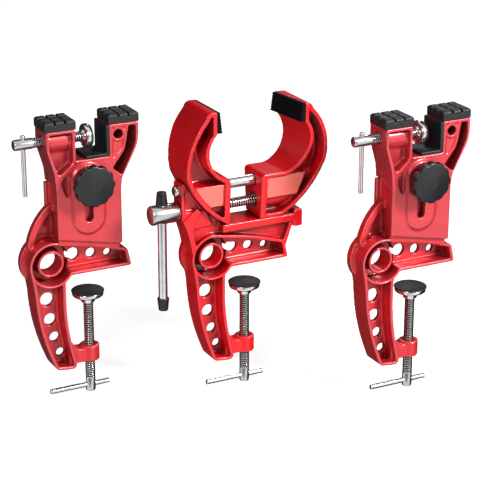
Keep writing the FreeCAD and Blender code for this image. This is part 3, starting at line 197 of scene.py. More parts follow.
world = bpy.data.worlds.new("surround")
world.use_nodes = True
bpy.context.scene.world = world
nodes, links = world.node_tree.nodes, world.node_tree.links
nodes.clear()
surround_out = nodes.new("ShaderNodeOutputWorld")
surround = nodes.new("ShaderNodeBackground")
path = nodes.new("ShaderNodeLightPath")
way = nodes.new("ShaderNodeTexCoord")
mirrored = nodes.new("ShaderNodeGroup")
mirrored.node_tree = STUDIO_IN_METAL
links.new(way.outputs["Generated"], mirrored.inputs["Direction"])
glossy = nodes.new("ShaderNodeMix")
glossy.data_type = "FLOAT"
glossy.inputs["A"].default_value = SURROUND_LIGHT
links.new(path.outputs["Is Glossy Ray"], glossy.inputs["Factor"])
links.new(mirrored.outputs["Value"], glossy.inputs["B"])
seen = nodes.new("ShaderNodeMix")
seen.data_type = "FLOAT"
seen.inputs["B"].default_value = 1.0
links.new(path.outputs["Is Camera Ray"], seen.inputs["Factor"])
links.new(glossy.outputs["Result"], seen.inputs["A"])
links.new(seen.outputs["Result"], surround.inputs["Strength"])
links.new(surround.outputs[0], surround_out.inputs["Surface"])


def lamp(name, place, target, size, watts):
    """Square soft lamp that faces the target."""
    data = bpy.data.lights.new(name, "AREA")
    data.shape = "SQUARE"
    data.size = size
    data.energy = watts
    lamp_object = bpy.data.objects.new(name, data)
    lamp_object.location = place
    lamp_object.rotation_mode = "QUATERNION"
    lamp_object.rotation_quaternion = (Vector(target) - Vector(place)).to_track_quat("-Z", "Y")
    bpy.context.scene.collection.objects.link(lamp_object)


lamp("key_lamp", (0.85, -1.40, 1.05), (0.0, 0.0, 0.02), 0.45, 48.0)
lamp("left_lamp", (-1.3, -1.1, 0.9), (0.0, 0.0, 0.0), 0.5, 12.0)
lamp("back_lamp", (0.9, 1.3, 1.2), (0.0, 0.0, 0.0), 0.5, 4.0)


# Castings
# Frames, heads and jaws are aluminium die castings with soft edges and filleted corners, painted in
# gloss red: a deep red on the centre vise and a paler, slightly metallic red on the end vises, with
# the heads' red painted paler still as a highlight.

CENTRE_RED = (0.76, 0.005, 0.012, 1.0)
# Painted highlight colour for the centre castings' convex edges.
CENTRE_EDGE_HIGHLIGHT = (0.90, 0.17, 0.19, 1.0)
FRAME_RED = (0.72, 0.028, 0.040, 1.0)
# The end vises' red painted paler for the heads: a painted highlight.
HEAD_LIT_RED = (0.70, 0.054, 0.066, 1.0)
# Painted highlight colour for the end castings' convex edges.
END_EDGE_HIGHLIGHT = (0.95, 0.36, 0.38, 1.0)
# Painted highlight colour for the jaws' panels, in place of their reflection.
PANEL_SHEEN_RED = (0.86, 0.165, 0.130, 1.0)
# Reach of the painted shade that darkens the castings' pockets.
SHADE_REACH = 17.0 * MM
CAST_VOXEL = 0.85 * MM
CAST_ROUNDS = 5


def painted_metal_group():
    """Paint over a casting: faint cloudy tone, convex edges lightened as a painted highlight, orange
    peel.
    """
    group, start, end = group_with("painted_metal", [
        ("Vector", "NodeSocketVector", None),
        ("Edge", "NodeSocketFloat", 0.5),
        ("Colour", "NodeSocketColor", (0.7, 0.02, 0.03, 1.0)),
        ("Edge Highlight", "NodeSocketColor", (0.9, 0.2, 0.2, 1.0)),
        ("Edge Amount", "NodeSocketFloat", 0.5),
        ("Gloss", "NodeSocketFloat", 0.3),
    ], [("Color", "NodeSocketColor"), ("Roughness", "NodeSocketFloat"), ("Height", "NodeSocketFloat")])
    nodes, links = group.nodes, group.links
    cloud = nodes.new("ShaderNodeTexNoise")
    cloud.inputs["Scale"].default_value = 34.0
    cloud.inputs["Detail"].default_value = 3.0
    links.new(start.outputs["Vector"], cloud.inputs["Vector"])
    tone = nodes.new("ShaderNodeMapRange")
    tone.inputs["From Min"].default_value = 0.3
    tone.inputs["From Max"].default_value = 0.7
    tone.inputs["To Min"].default_value = 0.93
    tone.inputs["To Max"].default_value = 1.06
    links.new(cloud.outputs["Fac"], tone.inputs["Value"])
    toned = nodes.new("ShaderNodeVectorMath")
    toned.operation = "SCALE"
    links.new(start.outputs["Colour"], toned.inputs[0])
    links.new(tone.outputs["Result"], toned.inputs["Scale"])
    # Convex edges turn toward the edge colour: a painted highlight.
    ridge = nodes.new("ShaderNodeMapRange")
    ridge.inputs["From Min"].default_value = 0.515
    ridge.inputs["From Max"].default_value = 0.62
    links.new(start.outputs["Edge"], ridge.inputs["Value"])
    amount = nodes.new("ShaderNodeMath")
    amount.operation = "MULTIPLY"
    links.new(ridge.outputs["Result"], amount.inputs[0])
    links.new(start.outputs["Edge Amount"], amount.inputs[1])
    edged = nodes.new("ShaderNodeMix")
    edged.data_type = "RGBA"
    links.new(amount.outputs[0], edged.inputs["Factor"])
    links.new(toned.outputs[0], edged.inputs[6])
    links.new(start.outputs["Edge Highlight"], edged.inputs[7])
    links.new(edged.outputs[2], end.inputs["Color"])
    peel = nodes.new("ShaderNodeTexNoise")
    peel.inputs["Scale"].default_value = 620.0
    peel.inputs["Detail"].default_value = 2.0
    links.new(start.outputs["Vector"], peel.inputs["Vector"])
    links.new(peel.outputs["Fac"], end.inputs["Height"])
    rough = nodes.new("ShaderNodeMapRange")
    rough.inputs["To Min"].default_value = -0.04
    rough.inputs["To Max"].default_value = 0.05
    links.new(cloud.outputs["Fac"], rough.inputs["Value"])
    total = nodes.new("ShaderNodeMath")
    total.operation = "ADD"
    links.new(rough.outputs["Result"], total.inputs[0])
    links.new(start.outputs["Gloss"], total.inputs[1])
    links.new(total.outputs[0], end.inputs["Roughness"])
    return group


PAINTED_METAL = painted_metal_group()


def paint(name, colour, edge_highlight, gloss, coat, hollow_shade, metallic=0.0, panel=False):
    """Gloss paint on a casting, darkened in its pockets to the given tone as painted shade; jaws also
    get pale panels painted on as a highlight.
    """
    material, nodes, links, output = new_material(name)
    shader = nodes.new("ShaderNodeBsdfPrincipled")
    shader.inputs["Metallic"].default_value = metallic
    shader.inputs["Coat Weight"].default_value = coat
    shader.inputs["Coat Roughness"].default_value = 0.06
    shader.inputs["Specular IOR Level"].default_value = 0.3
    where = nodes.new("ShaderNodeTexCoord")
    geometry = nodes.new("ShaderNodeNewGeometry")
    finish = nodes.new("ShaderNodeGroup")
    finish.node_tree = PAINTED_METAL
    finish.inputs["Colour"].default_value = colour
    finish.inputs["Edge Highlight"].default_value = edge_highlight
    finish.inputs["Edge Amount"].default_value = 0.75
    finish.inputs["Gloss"].default_value = gloss
    links.new(where.outputs["Object"], finish.inputs["Vector"])
    links.new(geometry.outputs["Pointiness"], finish.inputs["Edge"])
    bump = nodes.new("ShaderNodeBump")
    bump.inputs["Strength"].default_value = 0.10
    bump.inputs["Distance"].default_value = 0.25 * MM
    links.new(finish.outputs["Height"], bump.inputs["Height"])
    links.new(bump.outputs[0], shader.inputs["Normal"])
    links.new(finish.outputs["Roughness"], shader.inputs["Roughness"])
    colour_from = finish.outputs["Color"]
    # Jaw panels are painted paler: a painted highlight.
    if panel:
        colour_from = panel_sheen_colour(nodes, links, where, geometry, finish)
    links.new(shade_in_hollows(nodes, links, colour_from, hollow_shade), shader.inputs["Base Color"])
    links.new(shader.outputs[0], output.inputs["Surface"])
    return material


def shade_in_hollows(nodes, links, colour_from, hollow_shade):
    """The colour with painted shade: darker where walls close in within the shade's reach."""
    closed = nodes.new("ShaderNodeAmbientOcclusion")
    closed.samples = 8
    closed.inputs["Distance"].default_value = SHADE_REACH
    tone = nodes.new("ShaderNodeMapRange")
    tone.inputs["From Min"].default_value = 0.30
    tone.inputs["From Max"].default_value = 0.82
    tone.inputs["To Min"].default_value = hollow_shade
    links.new(closed.outputs["AO"], tone.inputs["Value"])
    shaded = nodes.new("ShaderNodeVectorMath")
    shaded.operation = "SCALE"
    links.new(colour_from, shaded.inputs[0])
    links.new(tone.outputs["Result"], shaded.inputs["Scale"])
    return shaded.outputs[0]


PANEL_FOOT = 13.9 * MM
PANEL_FOOT_Z = 46.0 * MM
PANEL_LEAN = 3.5 / 46.5
PANEL_BAND = 0.3 * MM


def panel_sheen_colour(nodes, links, where, geometry, finish):
    """Colour of a jaw with a painted highlight: paler where a face looks along Y and |y| lies on the
    panel's leaning plane.
    """
    split = nodes.new("ShaderNodeSeparateXYZ")
    links.new(where.outputs["Object"], split.inputs[0])
    plane = nodes.new("ShaderNodeMath")
    plane.operation = "MULTIPLY_ADD"
    plane.inputs[1].default_value = PANEL_LEAN
    plane.inputs[2].default_value = PANEL_FOOT - PANEL_LEAN * PANEL_FOOT_Z
    links.new(split.outputs["Z"], plane.inputs[0])
    depth = nodes.new("ShaderNodeMath")
    depth.operation = "ABSOLUTE"
    links.new(split.outputs["Y"], depth.inputs[0])
    near = nodes.new("ShaderNodeMath")
    near.operation = "COMPARE"
    near.inputs[2].default_value = PANEL_BAND
    links.new(depth.outputs[0], near.inputs[0])
    links.new(plane.outputs[0], near.inputs[1])
    turned = nodes.new("ShaderNodeSeparateXYZ")
    links.new(geometry.outputs["Normal"], turned.inputs[0])
    facing = nodes.new("ShaderNodeMath")
    facing.operation = "ABSOLUTE"
    links.new(turned.outputs["Y"], facing.inputs[0])
    flat = nodes.new("ShaderNodeMath")
    flat.operation = "GREATER_THAN"
    flat.inputs[1].default_value = 0.96
    links.new(facing.outputs[0], flat.inputs[0])
    mask = nodes.new("ShaderNodeMath")
    mask.operation = "MULTIPLY"
    links.new(near.outputs[0], mask.inputs[0])
    links.new(flat.outputs[0], mask.inputs[1])
    mixed = nodes.new("ShaderNodeMix")
    mixed.data_type = "RGBA"
    mixed.inputs[7].default_value = PANEL_SHEEN_RED
    links.new(mask.outputs[0], mixed.inputs["Factor"])
    links.new(finish.outputs["Color"], mixed.inputs[6])
    return mixed.outputs[2]


# The last number of each paint is the tone of the painted shade in its pockets.
centre_paint = paint("centre_paint", CENTRE_RED, CENTRE_EDGE_HIGHLIGHT, 0.30, 0.5, 0.25)
jaw_paint = paint("jaw_paint", CENTRE_RED, CENTRE_EDGE_HIGHLIGHT, 0.30, 0.5, 0.22, panel=True)
frame_paint = paint("frame_paint", FRAME_RED, END_EDGE_HIGHLIGHT, 0.32, 0.6, 0.35, metallic=0.35)
head_lit_paint = paint("head_lit_paint", HEAD_LIT_RED, END_EDGE_HIGHLIGHT, 0.32, 0.6, 0.35, metallic=0.45)

BODY_OF = {
    node: body for body, members in frame["record"]["behaviour"]["bodies"].items() for node in members}


def settle(piece, node):
    """The piece stands for a CAD node: same body, and the CAD node is hidden."""
    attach(piece, BODY_OF[node])
    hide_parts(node)
    return piece


def welded_copy(node, name):
    """The CAD node's triangles as one closed mesh in a new object."""
    mesh = frame["nodes"][node].data.copy()
    mesh.name = name
    mesh.materials.clear()
    for attribute in [a.name for a in mesh.attributes if a.name.startswith("custom_normal")]:
        mesh.attributes.remove(mesh.attributes[attribute])
    shape = bmesh.new()
    shape.from_mesh(mesh)
    bmesh.ops.remove_doubles(shape, verts=shape.verts, dist=0.002 * MM)
    shape.to_mesh(mesh)
    shape.free()
    piece = bpy.data.objects.new(name, mesh)
    bpy.context.scene.collection.objects.link(piece)
    return piece


def softened(node, voxel, rounds, material):
    """The CAD solid with cast edges: fine even mesh, then each point drawn to its neighbours' mean."""
    piece = welded_copy(node, node + "_skin")
    even = piece.modifiers.new("even", "REMESH")
    even.mode = "VOXEL"
    even.voxel_size = voxel
    even.use_smooth_shade = True
    ease = piece.modifiers.new("ease", "SMOOTH")
    ease.factor = 0.5
    ease.iterations = rounds
    done = bpy.data.meshes.new_from_object(
        piece.evaluated_get(bpy.context.evaluated_depsgraph_get()))
    piece.modifiers.clear()
    piece.data = done
    done.materials.clear()
    done.materials.append(material)
    return settle(piece, node)


for node, material in (
        ("centre_frame", centre_paint), ("centre_fixed_jaw", jaw_paint),
        ("centre_sliding_jaw", jaw_paint),
        ("left_frame", frame_paint), ("left_head", head_lit_paint), ("right_frame", frame_paint),
        ("right_head", head_lit_paint)):
    softened(node, CAST_VOXEL, CAST_ROUNDS, material)


# Rubber
# Rest pads, slot liners, jaw pads and the faces of both kinds of pressure disc are black moulded
# rubber with rounded edges and a fine matt grain.

RUBBER_BLACK = (0.009, 0.010, 0.011, 1.0)
# Painted highlight colour for the rubber's convex edges.
RUBBER_EDGE_HIGHLIGHT = (0.060, 0.062, 0.068, 1.0)
JAW_BLACK = (0.004, 0.004, 0.005, 1.0)


def moulded_group():
    """Moulded rubber or plastic: fine grain in the height, small tone changes, convex edges paled as a
    painted highlight.
    """
    group, start, end = group_with("moulded_grain", [
        ("Vector", "NodeSocketVector", None),
        ("Edge", "NodeSocketFloat", 0.5),
        ("Colour", "NodeSocketColor", (0.02, 0.02, 0.02, 1.0)),
        ("Edge Highlight", "NodeSocketColor", (0.06, 0.06, 0.06, 1.0)),
        ("Grain Scale", "NodeSocketFloat", 900.0),
        ("Gloss", "NodeSocketFloat", 0.6),
    ], [("Color", "NodeSocketColor"), ("Roughness", "NodeSocketFloat"), ("Height", "NodeSocketFloat")])
    nodes, links = group.nodes, group.links
    grain = nodes.new("ShaderNodeTexNoise")
    grain.inputs["Detail"].default_value = 4.0
    links.new(start.outputs["Vector"], grain.inputs["Vector"])
    links.new(start.outputs["Grain Scale"], grain.inputs["Scale"])
    links.new(grain.outputs["Fac"], end.inputs["Height"])
    # Convex edges are paled toward the edge colour: a painted highlight.
    edge_highlight_mask = nodes.new("ShaderNodeMapRange")
    edge_highlight_mask.inputs["From Min"].default_value = 0.51
    edge_highlight_mask.inputs["From Max"].default_value = 0.64
    links.new(start.outputs["Edge"], edge_highlight_mask.inputs["Value"])
    mixed = nodes.new("ShaderNodeMix")
    mixed.data_type = "RGBA"
    links.new(edge_highlight_mask.outputs["Result"], mixed.inputs["Factor"])
    links.new(start.outputs["Colour"], mixed.inputs[6])
    links.new(start.outputs["Edge Highlight"], mixed.inputs[7])
    links.new(mixed.outputs[2], end.inputs["Color"])
    cloud = nodes.new("ShaderNodeTexNoise")
    cloud.inputs["Scale"].default_value = 60.0
    links.new(start.outputs["Vector"], cloud.inputs["Vector"])
    rough = nodes.new("ShaderNodeMapRange")
    rough.inputs["To Min"].default_value = -0.08
    rough.inputs["To Max"].default_value = 0.08
    links.new(cloud.outputs["Fac"], rough.inputs["Value"])
    total = nodes.new("ShaderNodeMath")
    total.operation = "ADD"
    links.new(rough.outputs["Result"], total.inputs[0])
    links.new(start.outputs["Gloss"], total.inputs[1])
    links.new(total.outputs[0], end.inputs["Roughness"])
    return group


MOULDED_GRAIN_AND_HIGHLIGHT = moulded_group()


def moulded(name, colour, edge_highlight, grain_scale, gloss, bump_strength, shine=0.5):
    """Moulded material with its grain as bump."""
    material, nodes, links, output = new_material(name)
    shader = nodes.new("ShaderNodeBsdfPrincipled")
    shader.inputs["Specular IOR Level"].default_value = shine
    where = nodes.new("ShaderNodeTexCoord")
    geometry = nodes.new("ShaderNodeNewGeometry")
    finish = nodes.new("ShaderNodeGroup")
    finish.node_tree = MOULDED_GRAIN_AND_HIGHLIGHT
    finish.inputs["Colour"].default_value = colour
    finish.inputs["Edge Highlight"].default_value = edge_highlight
    finish.inputs["Grain Scale"].default_value = grain_scale
    finish.inputs["Gloss"].default_value = gloss
    links.new(where.outputs["Object"], finish.inputs["Vector"])
    links.new(geometry.outputs["Pointiness"], finish.inputs["Edge"])
    bump = nodes.new("ShaderNodeBump")
    bump.inputs["Strength"].default_value = bump_strength
    bump.inputs["Distance"].default_value = 0.2 * MM
    links.new(finish.outputs["Height"], bump.inputs["Height"])
    links.new(bump.outputs[0], shader.inputs["Normal"])
    links.new(finish.outputs["Color"], shader.inputs["Base Color"])
    links.new(finish.outputs["Roughness"], shader.inputs["Roughness"])
    links.new(shader.outputs[0], output.inputs["Surface"])
    return material


black_rubber = moulded("black_rubber", RUBBER_BLACK, RUBBER_EDGE_HIGHLIGHT, 1500.0, 0.52, 0.35)

for side in ("left", "right"):
    for pad in ("outer_rest_pad", "inner_rest_pad", "slot_liner"):
        softened(f"{side}_{pad}", 0.45 * MM, 4, black_rubber)
# The jaw pads take the plain black rubber as their painted edge highlight.
jaw_rubber = moulded("jaw_rubber", JAW_BLACK, RUBBER_BLACK, 1500.0, 0.60, 0.30, shine=0.08)
for pad in ("centre_fixed_jaw_pad", "centre_sliding_jaw_pad"):
    softened(pad, 0.4 * MM, 2, jaw_rubber)


# Lock knobs and handle caps
# The lobed knobs and the tapered caps of the handle bar are moulded in black plastic with a satin
# skin.

PLASTIC_BLACK = (0.008, 0.009, 0.010, 1.0)
# Painted highlight colour for the plastic's convex edges.
PLASTIC_EDGE_HIGHLIGHT = (0.040, 0.041, 0.045, 1.0)

black_plastic = moulded("black_plastic", PLASTIC_BLACK, PLASTIC_EDGE_HIGHLIGHT, 1100.0, 0.34, 0.16)

for side in ("left", "right"):
    softened(f"{side}_lock_knob", 0.5 * MM, 4, black_plastic)
softened("centre_handle_caps", 0.35 * MM, 3, black_plastic)


# Plated steel
# Screws, bars, discs and the guide rod are turned from steel and plated: zinc on the threads, a
# brighter nickel on the smooth parts.

ZINC = (0.66, 0.67, 0.68, 1.0)
NICKEL = (0.80, 0.81, 0.82, 1.0)
# Painted shade: the thread roots' colour is scaled down to this.
ROOT_SHADE = 0.03


def turned_group():
    """Turned metal: a fine noise in the height and small stains in tone and roughness."""
    group, start, end = group_with("turned_metal", [
        ("Vector", "NodeSocketVector", None),
        ("Colour", "NodeSocketColor", (0.6, 0.6, 0.6, 1.0)),
        ("Gloss", "NodeSocketFloat", 0.2),
    ], [("Color", "NodeSocketColor"), ("Roughness", "NodeSocketFloat"), ("Height", "NodeSocketFloat")])
    nodes, links = group.nodes, group.links
    stain = nodes.new("ShaderNodeTexNoise")
    stain.inputs["Scale"].default_value = 120.0
    stain.inputs["Detail"].default_value = 5.0
    links.new(start.outputs["Vector"], stain.inputs["Vector"])
    tone = nodes.new("ShaderNodeMapRange")
    tone.inputs["From Min"].default_value = 0.3
    tone.inputs["From Max"].default_value = 0.7
    tone.inputs["To Min"].default_value = 0.88
    tone.inputs["To Max"].default_value = 1.06
    links.new(stain.outputs["Fac"], tone.inputs["Value"])
    toned = nodes.new("ShaderNodeVectorMath")
    toned.operation = "SCALE"
    links.new(start.outputs["Colour"], toned.inputs[0])
    links.new(tone.outputs["Result"], toned.inputs["Scale"])
    links.new(toned.outputs[0], end.inputs["Color"])
    rough = nodes.new("ShaderNodeMapRange")
    rough.inputs["To Min"].default_value = -0.06
    rough.inputs["To Max"].default_value = 0.10
    links.new(stain.outputs["Fac"], rough.inputs["Value"])
    total = nodes.new("ShaderNodeMath")
    total.operation = "ADD"
    links.new(rough.outputs["Result"], total.inputs[0])
    links.new(start.outputs["Gloss"], total.inputs[1])
    links.new(total.outputs[0], end.inputs["Roughness"])
    fine = nodes.new("ShaderNodeTexNoise")
    fine.inputs["Scale"].default_value = 2500.0
    links.new(start.outputs["Vector"], fine.inputs["Vector"])
    links.new(fine.outputs["Fac"], end.inputs["Height"])
    return group


TURNED_METAL = turned_group()


def plated(name, colour, gloss):
    """Plated steel with its faint stains and painted shade in the roots of a thread."""
    material, nodes, links, output = new_material(name)
    shader = nodes.new("ShaderNodeBsdfPrincipled")
    shader.inputs["Metallic"].default_value = 1.0
    where = nodes.new("ShaderNodeTexCoord")
    finish = nodes.new("ShaderNodeGroup")
    finish.node_tree = TURNED_METAL
    finish.inputs["Colour"].default_value = colour
    finish.inputs["Gloss"].default_value = gloss
    links.new(where.outputs["Object"], finish.inputs["Vector"])
    bump = nodes.new("ShaderNodeBump")
    bump.inputs["Strength"].default_value = 0.05
    bump.inputs["Distance"].default_value = 0.05 * MM
    links.new(finish.outputs["Height"], bump.inputs["Height"])
    links.new(bump.outputs[0], shader.inputs["Normal"])
    root = nodes.new("ShaderNodeAttribute")
    root.attribute_name = "root"
    tone = nodes.new("ShaderNodeMapRange")
    tone.inputs["From Min"].default_value = 0.10
    tone.inputs["From Max"].default_value = 0.60
    tone.inputs["To Min"].default_value = 1.0
    tone.inputs["To Max"].default_value = ROOT_SHADE
    links.new(root.outputs["Fac"], tone.inputs["Value"])
    root_shaded = nodes.new("ShaderNodeVectorMath")
    root_shaded.operation = "SCALE"
    links.new(finish.outputs["Color"], root_shaded.inputs[0])
    links.new(tone.outputs["Result"], root_shaded.inputs["Scale"])
    links.new(root_shaded.outputs[0], shader.inputs["Base Color"])
    links.new(finish.outputs["Roughness"], shader.inputs["Roughness"])
    links.new(shader.outputs[0], output.inputs["Surface"])
    return material


zinc = plated("zinc_plate", ZINC, 0.20)
nickel = plated("bright_nickel", NICKEL, 0.12)


SHARP_FROM = np.radians(40.0)
GROOVE_RISE = 1.7
GROOVE_CREST = 0.55


def grid_piece(name, points, material):
    """Closed round surface from a grid of points (along, around, xyz), with a pole at each end."""
    rows, columns, _ = points.shape
    poles = np.stack([points[0].mean(axis=0), points[-1].mean(axis=0)])
    vertices = np.concatenate([points.reshape(-1, 3), poles])
    row, column = np.meshgrid(np.arange(rows - 1), np.arange(columns), indexing="ij")
    after = (column + 1) % columns
    quads = np.stack([
        row * columns + column, row * columns + after,
        (row + 1) * columns + after, (row + 1) * columns + column], axis=-1).reshape(-1, 4)
    ring = np.arange(columns)
    turn = (ring + 1) % columns
    first = np.stack([np.full(columns, rows * columns), turn, ring], axis=-1)
    last = np.stack([
        np.full(columns, rows * columns + 1), (rows - 1) * columns + ring,
        (rows - 1) * columns + turn], axis=-1)
    mesh = bpy.data.meshes.new(name)
    mesh.from_pydata(vertices.tolist(), [], quads.tolist() + first.tolist() + last.tolist())
    shape = bmesh.new()
    shape.from_mesh(mesh)
    bmesh.ops.recalc_face_normals(shape, faces=shape.faces)
    shape.to_mesh(mesh)
    shape.free()
    mesh.shade_smooth()
    mesh.set_sharp_from_angle(angle=SHARP_FROM)
    mesh.materials.append(material)
    piece = bpy.data.objects.new(name, mesh)
    bpy.context.scene.collection.objects.link(piece)
    return piece


def around_axis(along, radius, start, axis, columns):
    """Points at a distance along an axis and a radius from it; radius is (rows,) or (rows, columns)."""
    axis = np.array(axis, float)
    side = np.array((0.0, 0.0, 1.0)) if abs(axis[2]) < 0.9 else np.array((1.0, 0.0, 0.0))
    across = np.cross(axis, side)
    side = np.cross(across, axis)
    angle = np.linspace(0, 2 * np.pi, columns, endpoint=False)
    ring = np.cos(angle)[:, None] * side + np.sin(angle)[:, None] * across
    radius = np.broadcast_to(np.asarray(radius, float).reshape(len(along), -1), (len(along), columns))
    return np.array(start) + along[:, None, None] * axis + radius[:, :, None] * ring


def eased(profile, corner):
    """Profile (along, radius) whose inner corners become arcs that start this far from the corner."""
    points = np.array(profile, float)
    out = [points[:1]]
    share = np.linspace(0, 1, 6)[:, None]
    for before, here, after in zip(points[:-2], points[1:-1], points[2:]):
        back, on = before - here, after - here
        run = min(corner, np.linalg.norm(back) * 0.45, np.linalg.norm(on) * 0.45)
        a = here + back / np.linalg.norm(back) * run
        b = here + on / np.linalg.norm(on) * run
        out.append((1 - share) ** 2 * a + 2 * share * (1 - share) * here + share ** 2 * b)
    out.append(points[-1:])
    return np.concatenate(out)


def lathed(node, profile, start, axis, material, corner=0.4, columns=72):
    """Turned piece for a CAD node: the eased profile carried once round its axis, in millimetres."""
    line = eased(profile, corner)
    points = around_axis(line[:, 0], line[:, 1], start, axis, columns)
    return settle(grid_piece(node + "_turned", points * MM, material), node)


def threaded(node, start, axis, pitch, thread, plain, material, columns=44, steps=8):
    """Screw for a CAD node: the radius falls by the thread's depth along a right-hand helix.

    thread is (from, to, depth) along the axis, plain a list of (along, radius) that the screw's
    outline follows outside the thread.
    """
    first, last, depth = thread
    count = int((last - first) / pitch * steps)
    along = np.concatenate([
        [p[0] for p in plain if p[0] <= first], np.linspace(first, last, count + 1)[1:-1],
        [p[0] for p in plain if p[0] >= last]])
    outline = np.interp(along, [p[0] for p in plain], [p[1] for p in plain])
    ease = np.clip(np.minimum(along - first, last - along) / pitch, 0, 1)
    angle = np.linspace(0, 1, columns, endpoint=False)
    phase = (along[:, None] / pitch - angle[None, :]) % 1.0
    groove = np.clip(GROOVE_RISE * (1 - np.abs(2 * phase - 1)) - GROOVE_CREST, 0, 1)
    surface = outline[:, None] - depth * groove * ease[:, None]
    points = around_axis(along, surface, start, axis, columns)
    piece = grid_piece(node + "_threaded", points * MM, material)
    root = piece.data.attributes.new("root", "FLOAT", "POINT")
    root.data.foreach_set("value", np.append((groove * ease[:, None]).ravel(), (0.0, 0.0)))
    return settle(piece, node)


def corner_of(node):
    """Lowest and highest corner of a CAD node in millimetres."""
    low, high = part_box(node)
    return np.array(low) / MM, np.array(high) / MM


# Bench screws
# A 10 mm zinc-plated spindle, a pressed cup with a rubber face that swivels on its end, and a loose
# tommy bar through its foot.

CLAMP_PITCH = 2.0
CLAMP_DEPTH = 1.0


def clamp_set(side):
    """The four pieces of one bench screw, placed by the CAD spindle."""
    low, high = corner_of(f"{side}_clamp_spindle")
    centre = (low + high) / 2
    length = high[2] - low[2]
    foot = (centre[0], centre[1], low[2])
    r = (high[0] - low[0]) / 2
    threaded(
        f"{side}_clamp_spindle", foot, (0, 0, 1), CLAMP_PITCH, (14.0, length - 3.0, CLAMP_DEPTH),
        [(0.0, r - 0.9), (0.25, r - 0.5), (0.9, r - 0.05), (1.4, r), (14.0, r), (length - 3.0, r),
         (length - 0.8, r), (length, r - 0.8)], zinc)
    low, high = corner_of(f"{side}_clamp_cup")
    r = (high[0] - low[0]) / 2
    height = high[2] - low[2]
    base = (centre[0], centre[1], low[2])
    lathed(f"{side}_clamp_cup", [
        (0.6, 5.0), (0.0, 5.4), (0.0, 6.9), (4.6, 7.5), (5.2, 8.6), (5.4, r - 3.2), (7.0, r - 0.5),
        (8.2, r), (height - 0.6, r), (height, r - 0.5), (height - 0.2, r - 1.2),
        (height - 2.0, r - 1.4), (height - 2.0, 3.0),
    ], base, (0, 0, 1), nickel, corner=1.2)
    low, high = corner_of(f"{side}_clamp_rubber")
    r = (high[0] - low[0]) / 2
    height = high[2] - low[2]
    base = (centre[0], centre[1], low[2])
    share = np.linspace(1.0, 0.02, 14)
    crown = [(height - 1.6 * s ** 2, (r - 0.5) * s) for s in share]
    lathed(
        f"{side}_clamp_rubber",
        [(0.0, 0.5), (0.0, r - 2.0), (2.0, r - 2.0), (2.1, r), (height - 2.0, r)] + crown,
        base, (0, 0, 1), black_rubber, corner=0.5)
    bar_for(f"{side}_clamp_bar", (1, 0, 0), nickel)


BAR_NECK = 0.12


def bar_for(node, axis, material):
    """Round bar with slightly thicker rounded ends, from the CAD bar's box."""
    low, high = corner_of(node)
    along = np.array(axis, float)
    length = float((high - low) @ along)
    across = np.array((high - low)[np.argmin(np.abs((high - low) - (high - low).min()))])
    thick = float(across) / 2
    thin = thick - BAR_NECK
    start = (low + high) / 2 - along * length / 2
    lathed(node, [
        (0.0, 0.2), (0.0, thick - 0.6), (0.6, thick), (2.4, thick), (3.1, thin), (length - 3.1, thin),
        (length - 2.4, thick), (length - 0.6, thick), (length, thick - 0.6), (length, 0.2),
    ], start, axis, material, corner=0.5, columns=40)


for side in ("centre", "left", "right"):
    clamp_set(side)


# Side screws of the end vises
# A plain barrel with a cross hole, a 10 mm thread through the post, and a swivelling pressure disc
# with a rubber face; the tommy bar hangs in the barrel.

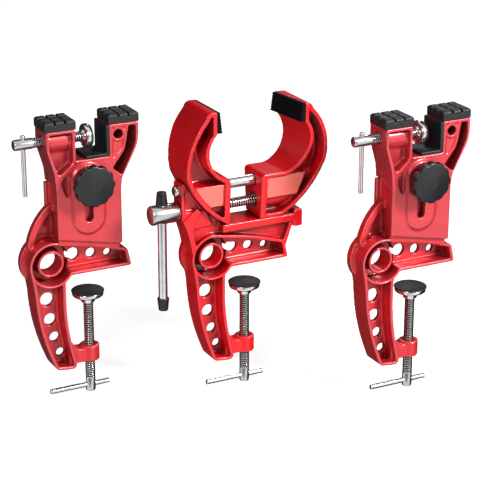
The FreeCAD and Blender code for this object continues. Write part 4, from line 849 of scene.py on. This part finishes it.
for side in ("left", "right"):
    low, high = corner_of(f"{side}_side_screw")
    middle = (low + high) / 2
    length = high[0] - low[0]
    r = (high[1] - low[1]) / 2
    start = (low[0], middle[1], middle[2])
    threaded(
        f"{side}_side_screw", start, (1, 0, 0), CLAMP_PITCH, (18.5, length - 1.0, CLAMP_DEPTH),
        [(0.0, r - 1.0), (0.25, r - 0.55), (0.8, r - 0.1), (1.2, r), (18.3, r), (18.5, r - 0.3),
         (length - 1.0, r - 0.3), (length, r - 1.0)], zinc)
    low, high = corner_of(f"{side}_side_disc")
    middle = (low + high) / 2
    r = (high[1] - low[1]) / 2
    width = high[0] - low[0]
    start = (low[0], middle[1], middle[2])
    lathed(f"{side}_side_disc", [
        (0.4, 5.0), (0.0, 5.6), (0.2, 6.2), (2.4, 6.9), (3.0, 8.6), (2.2, r - 2.0), (2.4, r - 0.8),
        (3.6, r), (width - 0.9, r), (width, r - 0.9), (width, 1.0),
    ], start, (1, 0, 0), nickel, corner=0.7)
    low, high = corner_of(f"{side}_side_disc_face")
    middle = (low + high) / 2
    r = (high[1] - low[1]) / 2
    width = high[0] - low[0]
    lathed(f"{side}_side_disc_face", [
        (0.0, 1.0), (0.0, r), (width - 0.7, r), (width, r - 0.8), (width, 1.0),
    ], (low[0], middle[1], middle[2]), (1, 0, 0), black_rubber, corner=0.5)
    bar_for(f"{side}_side_bar", (0, 0, 1), nickel)


# Jaw drive of the centre vise
# The ground guide rod, the lead screw with its plain barrel, and the handle bar that hangs in it.

LEAD_PITCH = 2.5
LEAD_DEPTH = 1.1
LEAD_RADIUS = 5.0
BARREL = 29.0

low, high = corner_of("centre_guide_rod")
middle = (low + high) / 2
length, r = high[0] - low[0], (high[1] - low[1]) / 2
lathed("centre_guide_rod", [
    (0.0, 0.3), (0.0, r - 1.2), (1.2, r), (length - 1.2, r), (length, r - 1.2), (length, 0.3),
], (low[0], middle[1], middle[2]), (1, 0, 0), nickel, corner=0.35)

low, high = corner_of("centre_lead_screw")
middle = (low + high) / 2
length, r = high[0] - low[0], (high[1] - low[1]) / 2
threaded(
    "centre_lead_screw", (low[0], middle[1], middle[2]), (1, 0, 0), LEAD_PITCH,
    (BARREL + 3.0, length - 1.0, LEAD_DEPTH),
    [(0.0, 0.4), (0.01, r - 1.6), (0.35, r - 0.75), (1.0, r - 0.2), (1.6, r), (BARREL - 1.2, r),
     (BARREL - 0.3, r - 0.5), (BARREL, r - 1.2), (BARREL + 0.01, LEAD_RADIUS),
     (BARREL + 3.0, LEAD_RADIUS), (length - 1.0, LEAD_RADIUS), (length, LEAD_RADIUS - 0.8)], zinc)

low, high = corner_of("centre_handle_bar")
middle = (low + high) / 2
length, r = high[2] - low[2], (high[0] - low[0]) / 2
lathed("centre_handle_bar", [
    (0.0, 0.3), (0.0, r - 0.5), (0.5, r), (length - 0.5, r), (length, r - 0.5), (length, 0.3),
], (middle[0], middle[1], low[2]), (0, 0, 1), nickel, corner=0.3)


# Small steel parts
# Studs, washers, nuts, the collar and the set screws keep their CAD shape and get the zinc finish.

for node in (
        "centre_screw_collar", "centre_jaw_nut", "centre_rod_set_screws",
        "left_lock_stud", "left_lock_washer", "left_lock_nut",
        "right_lock_stud", "right_lock_washer", "right_lock_nut"):
    mesh = frame["nodes"][node].data
    mesh.materials.clear()
    mesh.materials.append(zinc)
